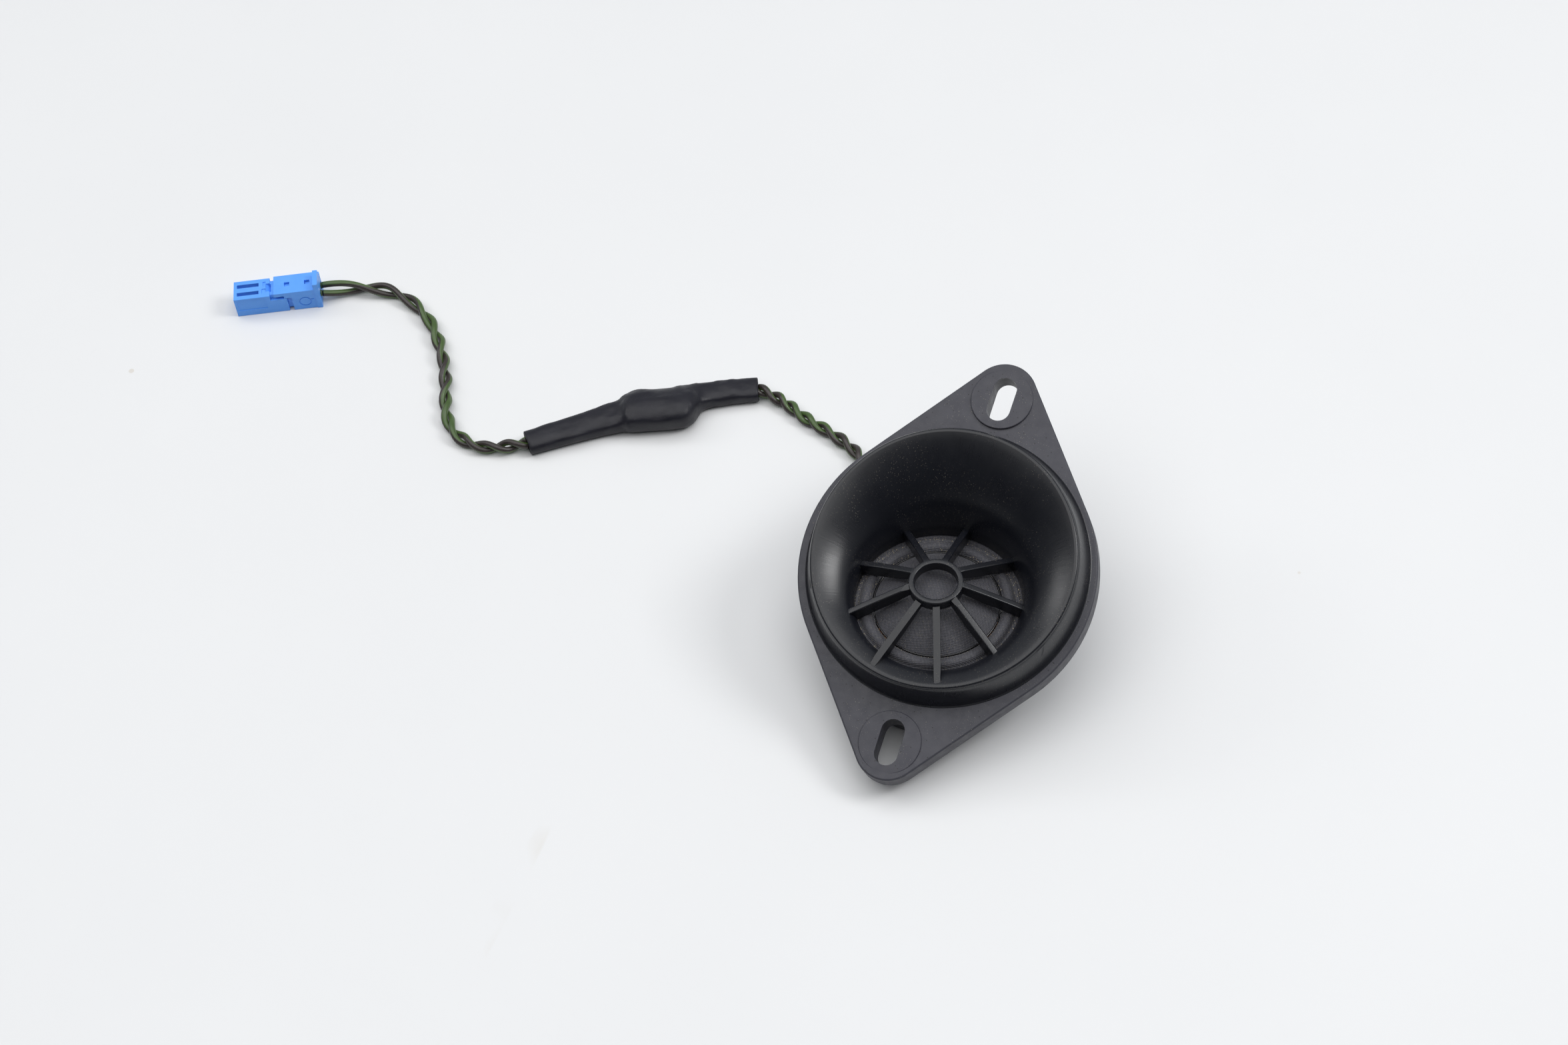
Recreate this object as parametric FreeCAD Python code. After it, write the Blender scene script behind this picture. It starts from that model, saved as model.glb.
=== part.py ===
import FreeCAD, Part
import math
import os

# Car tweeter on a tilted two-ear flange, with a twisted lead, a sleeved in-line capacitor and a
# 2-way connector.
# The driver axis is vertical. The flange plane leans over by TILT about X, so the -Y ear is the low one.
# The origin is at the middle of the bottom of the tweeter's own box, without the lead. Millimetres.

V = FreeCAD.Vector
UP = V(0, 0, 1)

# flange plane: its own frame is (u across, v along the ears, w normal)
TILT = 21.5
PLANE_Z = 22.5          # height of the flange face over the driver axis
FLANGE_T = 5.0
FLANGE_SKIN = 2.6       # thickness left over the hollow underside
EDGE_WALL = 1.8
MID_V, MID_R = 6.7, 32.9
SLOT_V, SLOT_PITCH = 6.9, 80.0
SLOT_W, SLOT_L = 5.2, 10.2
TIP_OUT, TIP_R = 1.0, 7.4
PAD_R, PAD_RISE = 6.9, 0.6
SLOT_WALL = 1.9

# collar and horn
FOOT_V, FOOT_R = 7.3, 31.0
RIM_V, RIM_R, RIM_H = 7.6, 29.2, 7.2
LIP_W = 0.9
SHELL = 1.8
THROAT_R, THROAT_Y, THROAT_Z = 18.2, 0.8, 20.4
LEDGE_Z = 20.0
SKIRT_R, SKIRT_TOP, RECESS_R, JOINT_Z = 21.9, 21.0, 20.6, 15.5
HORN_STEPS = 6
OVERLAP = 0.15          # walls that meet inside the moulding run this far into each other
POST_TOP = 36.0
BOWL_R, BOWL_Y = 23.4, 1.6          # the part of the bowl's wall that hangs below the flange

# dome guard
HUB_TOP, HUB_R, HUB_WALL, HUB_DEPTH = 29.0, 5.95, 1.25, 2.6
SPOKES, SPOKE_W, SPOKE_DEPTH = 9, 1.5, 3.2
SPOKE_SLOPE, SPOKE_BEND, SPOKE_ROOT, SPOKE_REACH = 0.40, 0.003, 0.6, 30.0
SPOKE_DEEP_FROM = 4.0   # how far from the hub a spoke has its full depth

# motor and diaphragm
CUP_R, CUP_IN, CUP_BOTTOM, CUP_FLOOR, CUP_TOP = 15.6, 13.6, 7.2, 2.4, 16.0
MAGNET_R, MAGNET_H = 12.0, 4.0
PLATE_R = 12.3
FELT_R, FELT_H = 11.5, 1.6
RING_R, RING_LOW_R, RING_TOP, RING_BOTTOM = 20.4, 18.6, 19.4, 13.8
RING_SEAT_R, RING_BORE_R, RING_BORE_Z = 16.8, 14.5, 17.4
GASKET_IN = 19.2
FABRIC = 0.3
DOME_R, DOME_Z, DOME_H = 13.6, 20.5, 4.8
FORMER_R, FORMER_T, FORMER_Z0, FORMER_Z1 = 12.6, 0.2, 12.9, 20.75
COIL_T, COIL_Z, COIL_H = 0.45, 13.4, 3.0
ROLL_OUT, ROLL_CROWN, ROLL_IN = 16.8, 15.5, 14.1    # radii of the surround's half roll
ROLL_RISE, ROLL_IN_RISE = 1.9, 1.1                  # its crown and its inner edge over the ring
GLUE_PROFILE = [(13.65, 20.1), (13.98, 20.2), (13.98, 20.5), (13.65, 20.7)]

# rear cover
COVER_R, COVER_IN, COVER_FLOOR = 21.2, 19.6, 1.8
COVER_LEDGE_R, COVER_LEDGE_Z = 18.8, 12.8
COVER_GAP, COVER_CHAMFER, COVER_SHELF = 0.3, 1.0, 0.8
LUG_AT, LUG_R, LUG_H, LUG_ANGLES = 24.7, 2.9, 2.5, (-15, 90, 195)
SCREW_HOLE_R, PILOT_R, PILOT_DEPTH = 1.45, 1.05, 6.0
SCREW_R, SCREW_HEAD_R, SCREW_HEAD_H, SCREW_L = 1.05, 2.3, 1.5, 8.0
CROSS_L, CROSS_W, CROSS_DEPTH = 2.6, 0.6, 0.9

# lead
EXIT_ANGLE, EXIT_R, EXIT_Z = 127.6, 22.6, 8.0
WIRE_R = 0.8
PAIR_R = 1.6
CLAMP_W, CLAMP_H, CLAMP_BITE = 6.0, 6.0, 0.05
CLAMP_GAP, CLAMP_LIP = 0.1, 0.8
TAB_T, TAB_W, TAB_PITCH, TAB_R, TAB_Z0, TAB_Z1 = 0.5, 1.8, 5.0, 17.2, 9.4, 13.6
BOARD_HALF, BOARD_Z0, BOARD_Z1 = 5.0, 12.2, 13.8
LEADOUT_R = 0.2
SOLDER_R, SOLDER_STEP, WIRE_STEP, SOLDER_Z = 0.9, 0.4, 1.0, 10.2
CORE_GAP = 0.05         # how much slimmer a wire is inside a clamp or a connector

# free lead: middle line of each stretch
LEAD_A = [
    (-13.79, 10.57, 8.0), (-18.4, 16.9, 7.6), (-23.6, 24.6, 5.6), (-30.2, 32.7, 2.8), (-37.2, 40.0, 1.8),
    (-45.2, 43.4, 1.7), (-53.2, 45.7, 1.7), (-60.2, 49.3, 1.8), (-66.4, 50.0, 2.2),
]
LEAD_B = [
    (-112.2, 17.6, 2.2), (-117.6, 14.3, 1.9), (-124.3, 12.8, 1.7), (-131.2, 15.2, 1.7), (-135.8, 21.4, 1.7),
    (-139.6, 30.0, 1.7), (-144.6, 38.0, 1.7), (-151.8, 46.2, 1.7), (-162.4, 51.4, 1.7), (-172.8, 49.6, 2.1),
    (-180.61, 45.15, 3.1),
]

# sleeve over the capacitor: x, y, heading, width, height of each section, from the tweeter's end
SLEEVE_WALL = 0.6
SLEEVE = [
    (-66.4, 50.0, 204.0, 6.4, 4.0),
    (-72.6, 47.0, 207.0, 6.4, 4.2),
    (-78.0, 43.6, 208.0, 7.0, 4.8),
    (-80.6, 38.9, 207.0, 11.2, 7.1),
    (-91.5, 33.6, 207.0, 11.0, 6.9),
    (-95.0, 31.1, 214.0, 8.0, 5.0),
    (-102.6, 25.4, 219.0, 7.0, 4.4),
    (-112.2, 17.6, 221.0, 6.4, 4.0),
]
CAP_AT, CAP_HEADING = (-86.3, 37.2), 27.0
CAP_L, CAP_W, CAP_H, CAP_Z, CAP_SHIFT = 11.0, 6.0, 5.2, 3.6, 2.3
CRIMP_R, CRIMP_STEP, CRIMP_SPAN, LEG_R = 1.1, 1.0, (0.2, 0.85), 0.35
INNER_WIRE_R, WIRE_LAY, MOUTH_IN = 0.75, 2.2, 1.2
BYPASS_STEPS = (-1.3, -1.2, -1.4, -3.1, -3.3, -1.4, -1.2, -1.3)

# connector: origin at the bottom middle of its mating face, +u towards the wires
CONN_AT, CONN_HEADING = (-199.76, 35.37), 27.05
CONN_W, CONN_H, CONN_L = 6.0, 6.0, 21.1
BLOCK_L, BODY_L, BODY_W = 8.9, 18.9, 4.6
PITCH, CAVITY, CONTACT = 2.54, 1.9, 1.6
LOCK_FROM, LOCK_TOP, LOCK_SKIRT_FROM, END_T, END_TOP = 9.9, 6.4, 14.1, 1.2, 8.4
LOCK_WALL, LOCK_GAP, LOCK_TRAVEL = 0.6, 0.1, 0.9
RAIL_TOP, LIP_T, CONN_Z0 = 4.4, 0.6, 0.05
CONN_LEAD_GAP = 0.4
WIRE_Z = 3.1
BLOCK_ROUND, BODY_BOTTOM, FLOOR_T = 0.35, 0.65, 1.2
SLIT_U, SLIT_HALF = (0.8, 6.2), 0.55
WINDOWS_U, WINDOW_HALF = (13.2, 18.2), 0.65
SOCKET_U, SOCKET_FLOOR_U, SOCKET_WALL = (0.6, 8.0), 7.5, 0.25
NECK_T, CRIMP_U = 0.3, (10.0, 13.0)


def fused(shapes):
    shapes = list(shapes)
    return shapes[0].multiFuse(shapes[1:]).removeSplitter() if len(shapes) > 1 else shapes[0]


def disc(radius, z0, z1, x=0.0, y=0.0):
    return Part.makeCylinder(radius, z1 - z0, V(x, y, z0))


def box(x0, x1, y0, y1, z0, z1):
    return Part.makeBox(x1 - x0, y1 - y0, z1 - z0, V(x0, y0, z0))


def turned(points):
    """A solid of revolution about the driver axis from (r, z) corners."""
    corners = [V(r, 0, z) for r, z in points]
    face = Part.Face(Part.makePolygon(corners + corners[:1]))
    return face.revolve(V(0, 0, 0), UP, 360)


def prism(wire, depth):
    return Part.Face(wire).extrude(depth)


def circle(centre, normal, radius):
    return Part.Wire(Part.Circle(centre, normal, radius).toShape())


def rod(start, end, radius):
    """A straight round rod with ball ends, so that rods join at their corners."""
    span = end - start
    ends = [Part.makeSphere(radius, start), Part.makeSphere(radius, end)]
    return fused([Part.makeCylinder(radius, span.Length, start, span)] + ends)


def rods(points, radius):
    return fused(rod(a, b, radius) for a, b in zip(points, points[1:]))


# ---- placing -------------------------------------------------------------------------------------

def tilted(shape):
    """From the flange's own frame to the driver's."""
    placed = shape.copy()
    placed.Placement = FreeCAD.Placement(V(0, 0, PLANE_Z), FreeCAD.Rotation(V(1, 0, 0), TILT))
    return placed


def on_plane(v, w):
    c, s = math.cos(math.radians(TILT)), math.sin(math.radians(TILT))
    return V(0, v * c - w * s, PLANE_Z + v * s + w * c)


def axis_y():
    """Where the driver axis lies, so that the tweeter's own box is centred on the origin."""
    near = on_plane(SLOT_V - SLOT_PITCH / 2 - TIP_OUT - TIP_R, 0).y
    far = on_plane(SLOT_V + SLOT_PITCH / 2 + TIP_OUT + TIP_R, -FLANGE_T).y
    return -(near + far) / 2


AXIS_Y = axis_y()


def driver_to_world(shape):
    moved = shape.copy()
    moved.translate(V(0, AXIS_Y, 0))
    return moved


def at_heading(shape, place, heading):
    moved = shape.copy()
    moved.rotate(V(0, 0, 0), UP, heading)
    moved.translate(V(place[0], place[1], 0))
    return moved


# ---- front housing -------------------------------------------------------------------------------

def ear_outline(shrink):
    """Two tip circles and a middle circle, joined by their common tangents, in the flange plane."""
    middle, tip = MID_R - shrink, TIP_R - shrink
    top = SLOT_V + SLOT_PITCH / 2 + TIP_OUT
    bottom = SLOT_V - SLOT_PITCH / 2 - TIP_OUT
    up = math.asin((middle - tip) / (top - MID_V))
    down = -math.asin((middle - tip) / (MID_V - bottom))

    def point(side, radius, centre, angle):
        return V(side * radius * math.cos(angle), centre + radius * math.sin(angle), 0)

    right = [point(1, tip, bottom, down), point(1, middle, MID_V, down), point(1, middle, MID_V, up),
             point(1, tip, top, up)]
    left = [V(-p.x, p.y, 0) for p in right]
    return Part.Wire([
        Part.LineSegment(right[0], right[1]).toShape(),
        Part.Arc(right[1], V(middle, MID_V, 0), right[2]).toShape(),
        Part.LineSegment(right[2], right[3]).toShape(),
        Part.Arc(right[3], V(0, top + tip, 0), left[3]).toShape(),
        Part.LineSegment(left[3], left[2]).toShape(),
        Part.Arc(left[2], V(-middle, MID_V, 0), left[1]).toShape(),
        Part.LineSegment(left[1], left[0]).toShape(),
        Part.Arc(left[0], V(0, bottom - tip, 0), right[0]).toShape(),
    ])


def slot_wire(v, grow=0.0):
    half, reach = SLOT_W / 2 + grow, (SLOT_L - SLOT_W) / 2
    a, b = V(half, v - reach, 0), V(half, v + reach, 0)
    c, d = V(-half, v + reach, 0), V(-half, v - reach, 0)
    return Part.Wire([
        Part.LineSegment(a, b).toShape(), Part.Arc(b, V(0, v + reach + half, 0), c).toShape(),
        Part.LineSegment(c, d).toShape(), Part.Arc(d, V(0, v - reach - half, 0), a).toShape(),
    ])


def slot_centres():
    return [(1, SLOT_V + SLOT_PITCH / 2), (-1, SLOT_V - SLOT_PITCH / 2)]


def slot_pad(side, v):
    """A round pad that stands proud on the horn's side and runs flush at the tip."""
    lean = math.degrees(math.asin(PAD_RISE / (2 * PAD_R)))
    slab = box(-20, 20, -20, 20, -4, 0)
    slab.rotate(V(0, 0, 0), V(1, 0, 0), -side * lean)
    slab.translate(V(0, v, PAD_RISE / 2))
    return Part.makeCylinder(PAD_R, 4, V(0, v, -2)).common(slab)


def horn_section(t, grow):
    """One circle of the horn: height and lean grow evenly from throat to rim, flare with the square."""
    rim = on_plane(RIM_V, RIM_H)
    mouth_r, lean = RIM_R - LIP_W, math.radians(TILT)
    flare = t * t
    centre = V(0, THROAT_Y + (rim.y - THROAT_Y) * flare, THROAT_Z + (rim.z - THROAT_Z) * t)
    depth = THROAT_R + (mouth_r * math.cos(lean) - THROAT_R) * flare
    tip = math.atan2(t * mouth_r * math.sin(lean), depth)
    radius = THROAT_R + (mouth_r - THROAT_R) * flare + grow
    return circle(centre, V(0, -math.sin(tip), math.cos(tip)), radius)


def horn(grow, drop):
    """The bowl's inner surface as a solid; grown and dropped, it is the wall's back."""
    sections = [horn_section(i / HORN_STEPS, grow) for i in range(HORN_STEPS + 1)]
    solid = Part.makeLoft(sections, True)
    solid.translate(V(0, 0, -drop))
    return solid


def guard():
    inner = HUB_R - HUB_WALL
    hub = disc(HUB_R, HUB_TOP - HUB_DEPTH, HUB_TOP)
    hub = hub.cut(disc(inner, HUB_TOP - HUB_DEPTH - 1, HUB_TOP + 1))
    start = HUB_R - HUB_WALL / 2

    def top(r):
        run = max(r - HUB_R, 0.0)
        return HUB_TOP - SPOKE_SLOPE * run - SPOKE_BEND * run * run

    middle = (start + SPOKE_REACH) / 2
    upper = [V(r, -SPOKE_W / 2, top(r)) for r in (start, middle, SPOKE_REACH)]
    lower = [p - V(0, 0, SPOKE_DEPTH if p.x > HUB_R + SPOKE_DEEP_FROM else HUB_DEPTH) for p in upper]
    side = Part.Wire([
        Part.Arc(*upper).toShape(), Part.LineSegment(upper[2], lower[2]).toShape(),
        Part.Arc(*reversed(lower)).toShape(), Part.LineSegment(lower[0], upper[0]).toShape(),
    ])
    blade = prism(side, V(0, SPOKE_W, 0))
    blades = []
    for i in range(SPOKES):
        turned_blade = blade.copy()
        turned_blade.rotate(V(0, 0, 0), UP, 90 + i * 360 / SPOKES)
        blades.append(turned_blade)
    # the spokes run a little way into the horn's wall
    for spoke in fused(blades).common(horn(SPOKE_ROOT, SPOKE_ROOT / 2)).Solids:
        hub = hub.fuse(spoke)
    return hub


def front_housing():
    plate = prism(ear_outline(0), V(0, 0, -FLANGE_T))
    pads = [slot_pad(side, v) for side, v in slot_centres()]
    foot = Part.makeCylinder(FOOT_R, FLANGE_T, V(0, FOOT_V, -FLANGE_T))
    hollow = prism(ear_outline(EDGE_WALL), V(0, 0, -FLANGE_T + FLANGE_SKIN))
    hollow.translate(V(0, 0, -FLANGE_SKIN))
    for _, v in slot_centres():
        hollow = hollow.cut(prism(slot_wire(v, SLOT_WALL), V(0, 0, -FLANGE_T)))
    hollow = hollow.cut(foot)
    plate = fused([plate] + pads + [foot]).cut(hollow)
    for _, v in slot_centres():
        through = prism(slot_wire(v), V(0, 0, -4 * FLANGE_T))
        through.translate(V(0, 0, 2 * FLANGE_T))
        plate = plate.cut(through)
    plate = tilted(plate)

    normal = on_plane(0, 1) - on_plane(0, 0)
    collar = Part.makeLoft([circle(on_plane(FOOT_V, 0), normal, FOOT_R),
                            circle(on_plane(RIM_V, RIM_H), normal, RIM_R)], True, True)
    outer = fused([tilted(foot), collar])

    skirt = disc(SKIRT_R, JOINT_Z, SKIRT_TOP)
    bowl = horn(SHELL, SHELL).common(disc(BOWL_R, JOINT_Z, 40.0, 0, BOWL_Y))
    lugs = [(LUG_AT * math.cos(a), LUG_AT * math.sin(a)) for a in map(math.radians, LUG_ANGLES)]
    inner = Part.makeLoft([circle(on_plane(FOOT_V, -3 * FLANGE_T), normal, FOOT_R - SHELL),
                           circle(on_plane(FOOT_V, 0), normal, FOOT_R - SHELL),
                           circle(on_plane(RIM_V, RIM_H - 2), normal, RIM_R - SHELL)], True, True)
    back = SHELL - OVERLAP
    cavity = inner.cut(horn(back, back)).cut(disc(SKIRT_R - OVERLAP, JOINT_Z, SKIRT_TOP - OVERLAP))

    body = fused([plate, outer]).cut(cavity).fuse(bowl).fuse(skirt)
    below_rim = tilted(box(-60, 60, -60, 60, -60, RIM_H - LIP_W))
    for x, y in lugs:
        body = body.fuse(disc(LUG_R, JOINT_Z, POST_TOP, x, y).common(below_rim))
    body = body.cut(horn(0, 0)).cut(disc(THROAT_R, LEDGE_Z - 1, THROAT_Z + 0.01, 0, THROAT_Y))
    body = body.cut(disc(RECESS_R, -10, LEDGE_Z)).cut(disc(COVER_R + COVER_GAP, -10, JOINT_Z))
    for x, y in lugs:
        body = body.cut(disc(LUG_R + COVER_GAP, -10, JOINT_Z, x, y))
        body = body.cut(disc(PILOT_R, JOINT_Z - 1, JOINT_Z + PILOT_DEPTH, x, y))

    return body.fuse(guard())


# ---- driver --------------------------------------------------------------------------------------

def dome_diaphragm():
    radius = (DOME_R ** 2 + DOME_H ** 2) / (2 * DOME_H)
    centre = V(0, 0, DOME_Z + DOME_H - radius)
    shell = Part.makeSphere(radius, centre).cut(Part.makeSphere(radius - FABRIC, centre))
    return shell.common(disc(DOME_R, DOME_Z, DOME_Z + DOME_H + 1))


def surround():
    """Flat rim, half roll and inner edge, as one revolved strip of fabric."""
    z = RING_TOP
    edge_in, edge_out = V(RING_R - 0.2, 0, z), V(RING_R - 0.2, 0, z + FABRIC)
    foot, crown = V(ROLL_OUT, 0, z + FABRIC), V(ROLL_CROWN, 0, z + ROLL_RISE)
    end = V(ROLL_IN, 0, z + ROLL_IN_RISE)
    end_under, crown_under = end + V(0.1, 0, -0.4), crown - V(0, 0, FABRIC)
    foot_under = V(ROLL_OUT - 0.2, 0, z)
    strip = Part.Wire([
        Part.LineSegment(edge_in, edge_out).toShape(),
        Part.LineSegment(edge_out, foot).toShape(),
        Part.Arc(foot, crown, end).toShape(),
        Part.LineSegment(end, end_under).toShape(),
        Part.Arc(end_under, crown_under, foot_under).toShape(),
        Part.LineSegment(foot_under, edge_in).toShape(),
    ])
    return Part.Face(strip).revolve(V(0, 0, 0), UP, 360)


def polar(radius, along, z):
    """A point near the lead exit: radius outwards, along to its side."""
    c, s = math.cos(math.radians(EXIT_ANGLE)), math.sin(math.radians(EXIT_ANGLE))
    return V(radius * c - along * s, radius * s + along * c, z)


def exit_block(r0, r1, half, z0, z1):
    block = box(r0, r1, -half, half, z0, z1)
    block.rotate(V(0, 0, 0), UP, EXIT_ANGLE)
    return block


def sides():
    return (-1, 1)


def tabs():
    shapes = []
    for side in sides():
        tab = box(TAB_R - TAB_W / 2, TAB_R + TAB_W / 2, -TAB_T / 2, TAB_T / 2, TAB_Z0, TAB_Z1)
        tab.translate(V(0, side * TAB_PITCH / 2, 0))
        tab.rotate(V(0, 0, 0), UP, EXIT_ANGLE)
        shapes.append(tab)
    return shapes


def diaphragm_ring():
    """It sits on the cup, carries the surround's rim and has a notch for each coil lead-out."""
    ring = turned([
        (CUP_R, RING_BOTTOM), (RING_LOW_R, RING_BOTTOM), (RING_LOW_R, JOINT_Z), (RING_R, JOINT_Z),
        (RING_R, RING_TOP), (RING_SEAT_R, RING_TOP), (RING_BORE_R, RING_BORE_Z),
        (RING_BORE_R, CUP_TOP), (CUP_R, CUP_TOP),
    ])
    for side in sides():
        notch = box(RING_BORE_R - 0.5, RING_LOW_R - 0.6, -0.5, 0.5, RING_BOTTOM - 0.8, RING_TOP)
        notch.translate(V(0, side * TAB_PITCH / 2, 0))
        notch.rotate(V(0, 0, 0), UP, EXIT_ANGLE)
        notch = notch.cut(disc(CUP_R, 0, CUP_TOP))
        ring = ring.cut(notch)
    return ring


def lead_outs():
    shapes = []
    for side in sides():
        y = side * TAB_PITCH / 2
        path = [polar(14.5, y, 19.3), polar(15.8, y, 18.6), polar(TAB_R - 0.4, y, 16.5),
                polar(TAB_R - 0.4, y, BOARD_Z1)]
        shapes.append(rods(path, LEADOUT_R))
    return Part.makeCompound(shapes)


def terminal_board():
    board = exit_block(CUP_R, RING_LOW_R, BOARD_HALF, BOARD_Z0, BOARD_Z1)
    board = board.common(disc(RING_LOW_R - 0.1, 0, 20)).cut(disc(CUP_R + 0.2, 0, 20))
    for tab in tabs():
        board = board.cut(tab)
    return board.cut(lead_outs())


def wire_paths():
    paths = []
    for side in sides():
        paths.append([
            polar(TAB_R, side * (TAB_PITCH / 2 + WIRE_STEP), SOLDER_Z), polar(17.8, side * 1.8, EXIT_Z + 0.6),
            polar(18.8, side * WIRE_R, EXIT_Z), polar(EXIT_R, side * WIRE_R, EXIT_Z),
        ])
    return paths


def inner_leads():
    inside = exit_block(0, EXIT_R, 10, 0, 20)
    cores = [rods(path, WIRE_R - CORE_GAP).common(inside) for path in wire_paths()]
    return Part.makeCompound([core.cut(tab) for core, tab in zip(cores, tabs())])


def solder_joints():
    shapes = []
    for side, tab in zip(sides(), tabs()):
        blob = Part.makeSphere(SOLDER_R, polar(TAB_R, side * (TAB_PITCH / 2 + SOLDER_STEP), SOLDER_Z))
        shapes.append(blob.cut(tab).cut(inner_leads()))
    return Part.makeCompound([max(s.Solids, key=lambda solid: solid.Volume) for s in shapes])


def lead_clamp():
    """A block in the cover's wall with a lip outside, bored for the two wires."""
    half, low, high = CLAMP_W / 2, EXIT_Z - CLAMP_H / 2, EXIT_Z + CLAMP_H / 2
    block = exit_block(COVER_IN - 0.5, EXIT_R, half - CLAMP_GAP, low + CLAMP_GAP, high - CLAMP_GAP)
    lip = exit_block(COVER_R + 0.1, EXIT_R, half + CLAMP_LIP, low - CLAMP_LIP + 0.1, high + CLAMP_LIP - 0.1)
    for side in sides():
        start, end = polar(18.0, side * WIRE_R, EXIT_Z), polar(EXIT_R + 1, side * WIRE_R, EXIT_Z)
        bore = Part.makeCylinder(WIRE_R + CLAMP_BITE, (end - start).Length, start, end - start)
        block, lip = block.cut(bore), lip.cut(bore)
    lip = lip.cut(disc(COVER_R + 0.02, 0, 20))
    return fused([block, lip])


def rear_cover():
    cover = turned([
        (0, 0), (COVER_R - COVER_CHAMFER, 0), (COVER_R, COVER_CHAMFER), (COVER_R, JOINT_Z),
        (COVER_LEDGE_R, JOINT_Z), (COVER_LEDGE_R, COVER_LEDGE_Z), (COVER_IN, COVER_LEDGE_Z - COVER_SHELF),
        (COVER_IN, COVER_FLOOR), (0, COVER_FLOOR),
    ])
    for a in map(math.radians, LUG_ANGLES):
        x, y = LUG_AT * math.cos(a), LUG_AT * math.sin(a)
        web = box(COVER_R - 1.0, LUG_AT, -LUG_R, LUG_R, JOINT_Z - LUG_H, JOINT_Z)
        web.rotate(V(0, 0, 0), UP, math.degrees(a))
        cover = fused([cover, web, disc(LUG_R, JOINT_Z - LUG_H, JOINT_Z, x, y)])
        cover = cover.cut(disc(SCREW_HOLE_R, 0, 20, x, y))
    return cover.cut(exit_block(15, 30, CLAMP_W / 2, EXIT_Z - CLAMP_H / 2, EXIT_Z + CLAMP_H / 2))


def cover_screws():
    shapes = []
    for a in map(math.radians, LUG_ANGLES):
        x, y = LUG_AT * math.cos(a), LUG_AT * math.sin(a)
        under = JOINT_Z - LUG_H
        head = disc(SCREW_HEAD_R, under - SCREW_HEAD_H, under, x, y)
        arm, half = CROSS_L / 2, CROSS_W / 2
        recess = box(-arm, arm, -half, half, 0, CROSS_DEPTH)
        recess = recess.fuse(box(-half, half, -arm, arm, 0, CROSS_DEPTH))
        recess.translate(V(x, y, under - SCREW_HEAD_H))
        shapes.append(fused([head, disc(SCREW_R, under, under + SCREW_L, x, y)]).cut(recess))
    return Part.makeCompound(shapes)


# ---- free lead -----------------------------------------------------------------------------------

def lead_tube(name, route, radius):
    """Straight runs joined by tangent arcs, each as large as its two runs allow."""
    points = [V(*p) for p in route]
    edges, at, radii = [], points[0], []
    for before, corner, after in zip(points, points[1:], points[2:]):
        run_in, run_out = corner - before, after - corner
        turn = run_in.getAngle(run_out)
        bend = 0.45 * min(run_in.Length, run_out.Length) / math.tan(turn / 2)
        reach = bend * math.tan(turn / 2)
        enter = corner - run_in.normalize() * reach
        leave = corner + run_out.normalize() * reach
        inward = (leave - corner) + (enter - corner)
        middle = corner + inward.normalize() * (bend / math.cos(turn / 2) - bend)
        edges += [Part.LineSegment(at, enter).toShape(), Part.Arc(enter, middle, leave).toShape()]
        radii.append(round(bend, 1))
        at = leave
    edges.append(Part.LineSegment(at, points[-1]).toShape())
    path = Part.Wire(edges)
    length = path.Length
    tube = path.makePipeShell([circle(points[0], points[1] - points[0], radius)], True, True)
    print(name, "bend radii", radii, "length", round(length, 1),
          "volume ratio", round(tube.Volume / (math.pi * radius ** 2 * length), 4))
    return tube


def rounded_section(x, y, heading, width, height, shrink):
    """A rounded rectangle that stands on the table, across the heading."""
    half, low, high = width / 2 - shrink, 0.1 + shrink, height - shrink
    r = min(half, (high - low) / 2) * 0.55
    corners = [(-half + r, low, half - r, low, half - r, low + r, -90),
               (half, low + r, half, high - r, half - r, high - r, 0),
               (half - r, high, -half + r, high, -half + r, high - r, 90),
               (-half, high - r, -half, low + r, -half + r, low + r, 180)]
    edges = []
    for ax, az, bx, bz, cx, cz, start in corners:
        edges.append(Part.LineSegment(V(0, ax, az), V(0, bx, bz)).toShape())
        mid, end = math.radians(start + 45), math.radians(start + 90)
        edges.append(Part.Arc(V(0, bx, bz), V(0, cx + r * math.cos(mid), cz + r * math.sin(mid)),
                              V(0, cx + r * math.cos(end), cz + r * math.sin(end))).toShape())
    wire = Part.Wire(edges)
    return at_heading(wire, (x, y), heading)


def splice_sleeve():
    outer = Part.makeLoft([rounded_section(*s, 0.0) for s in SLEEVE], True, True)
    inner = Part.makeLoft([rounded_section(*s, SLEEVE_WALL) for s in SLEEVE], True, True)
    return outer.cut(inner)


def in_cap_frame(shape):
    return at_heading(shape, CAP_AT, CAP_HEADING)


def capacitor_body():
    body = box(-CAP_L / 2, CAP_L / 2, -CAP_W / 2, CAP_W / 2, CAP_Z - CAP_H / 2, CAP_Z + CAP_H / 2)
    body = body.makeFillet(0.8, body.Edges)
    body.translate(V(0, -CAP_SHIFT, 0))
    return in_cap_frame(body)


def in_sleeve(index, step):
    """A point inside one section of the sleeve, stepped to its side; + is towards the low ear."""
    x, y, heading = SLEEVE[index][:3]
    a = math.radians(heading)
    return V(x - step * math.sin(a), y + step * math.cos(a), WIRE_LAY)


def crimp_ends(first, last):
    """A crimp lies between two sections of the sleeve: its end by the wire, then by the capacitor."""
    a, b = in_sleeve(first, CRIMP_STEP), in_sleeve(last, CRIMP_STEP)
    return a + (b - a) * CRIMP_SPAN[0], a + (b - a) * CRIMP_SPAN[1]


CRIMPS = [crimp_ends(1, 2), crimp_ends(6, 5)]


def splice_crimps():
    return Part.makeCompound([Part.makeCylinder(CRIMP_R, (b - a).Length, a, b - a) for a, b in CRIMPS])


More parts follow.
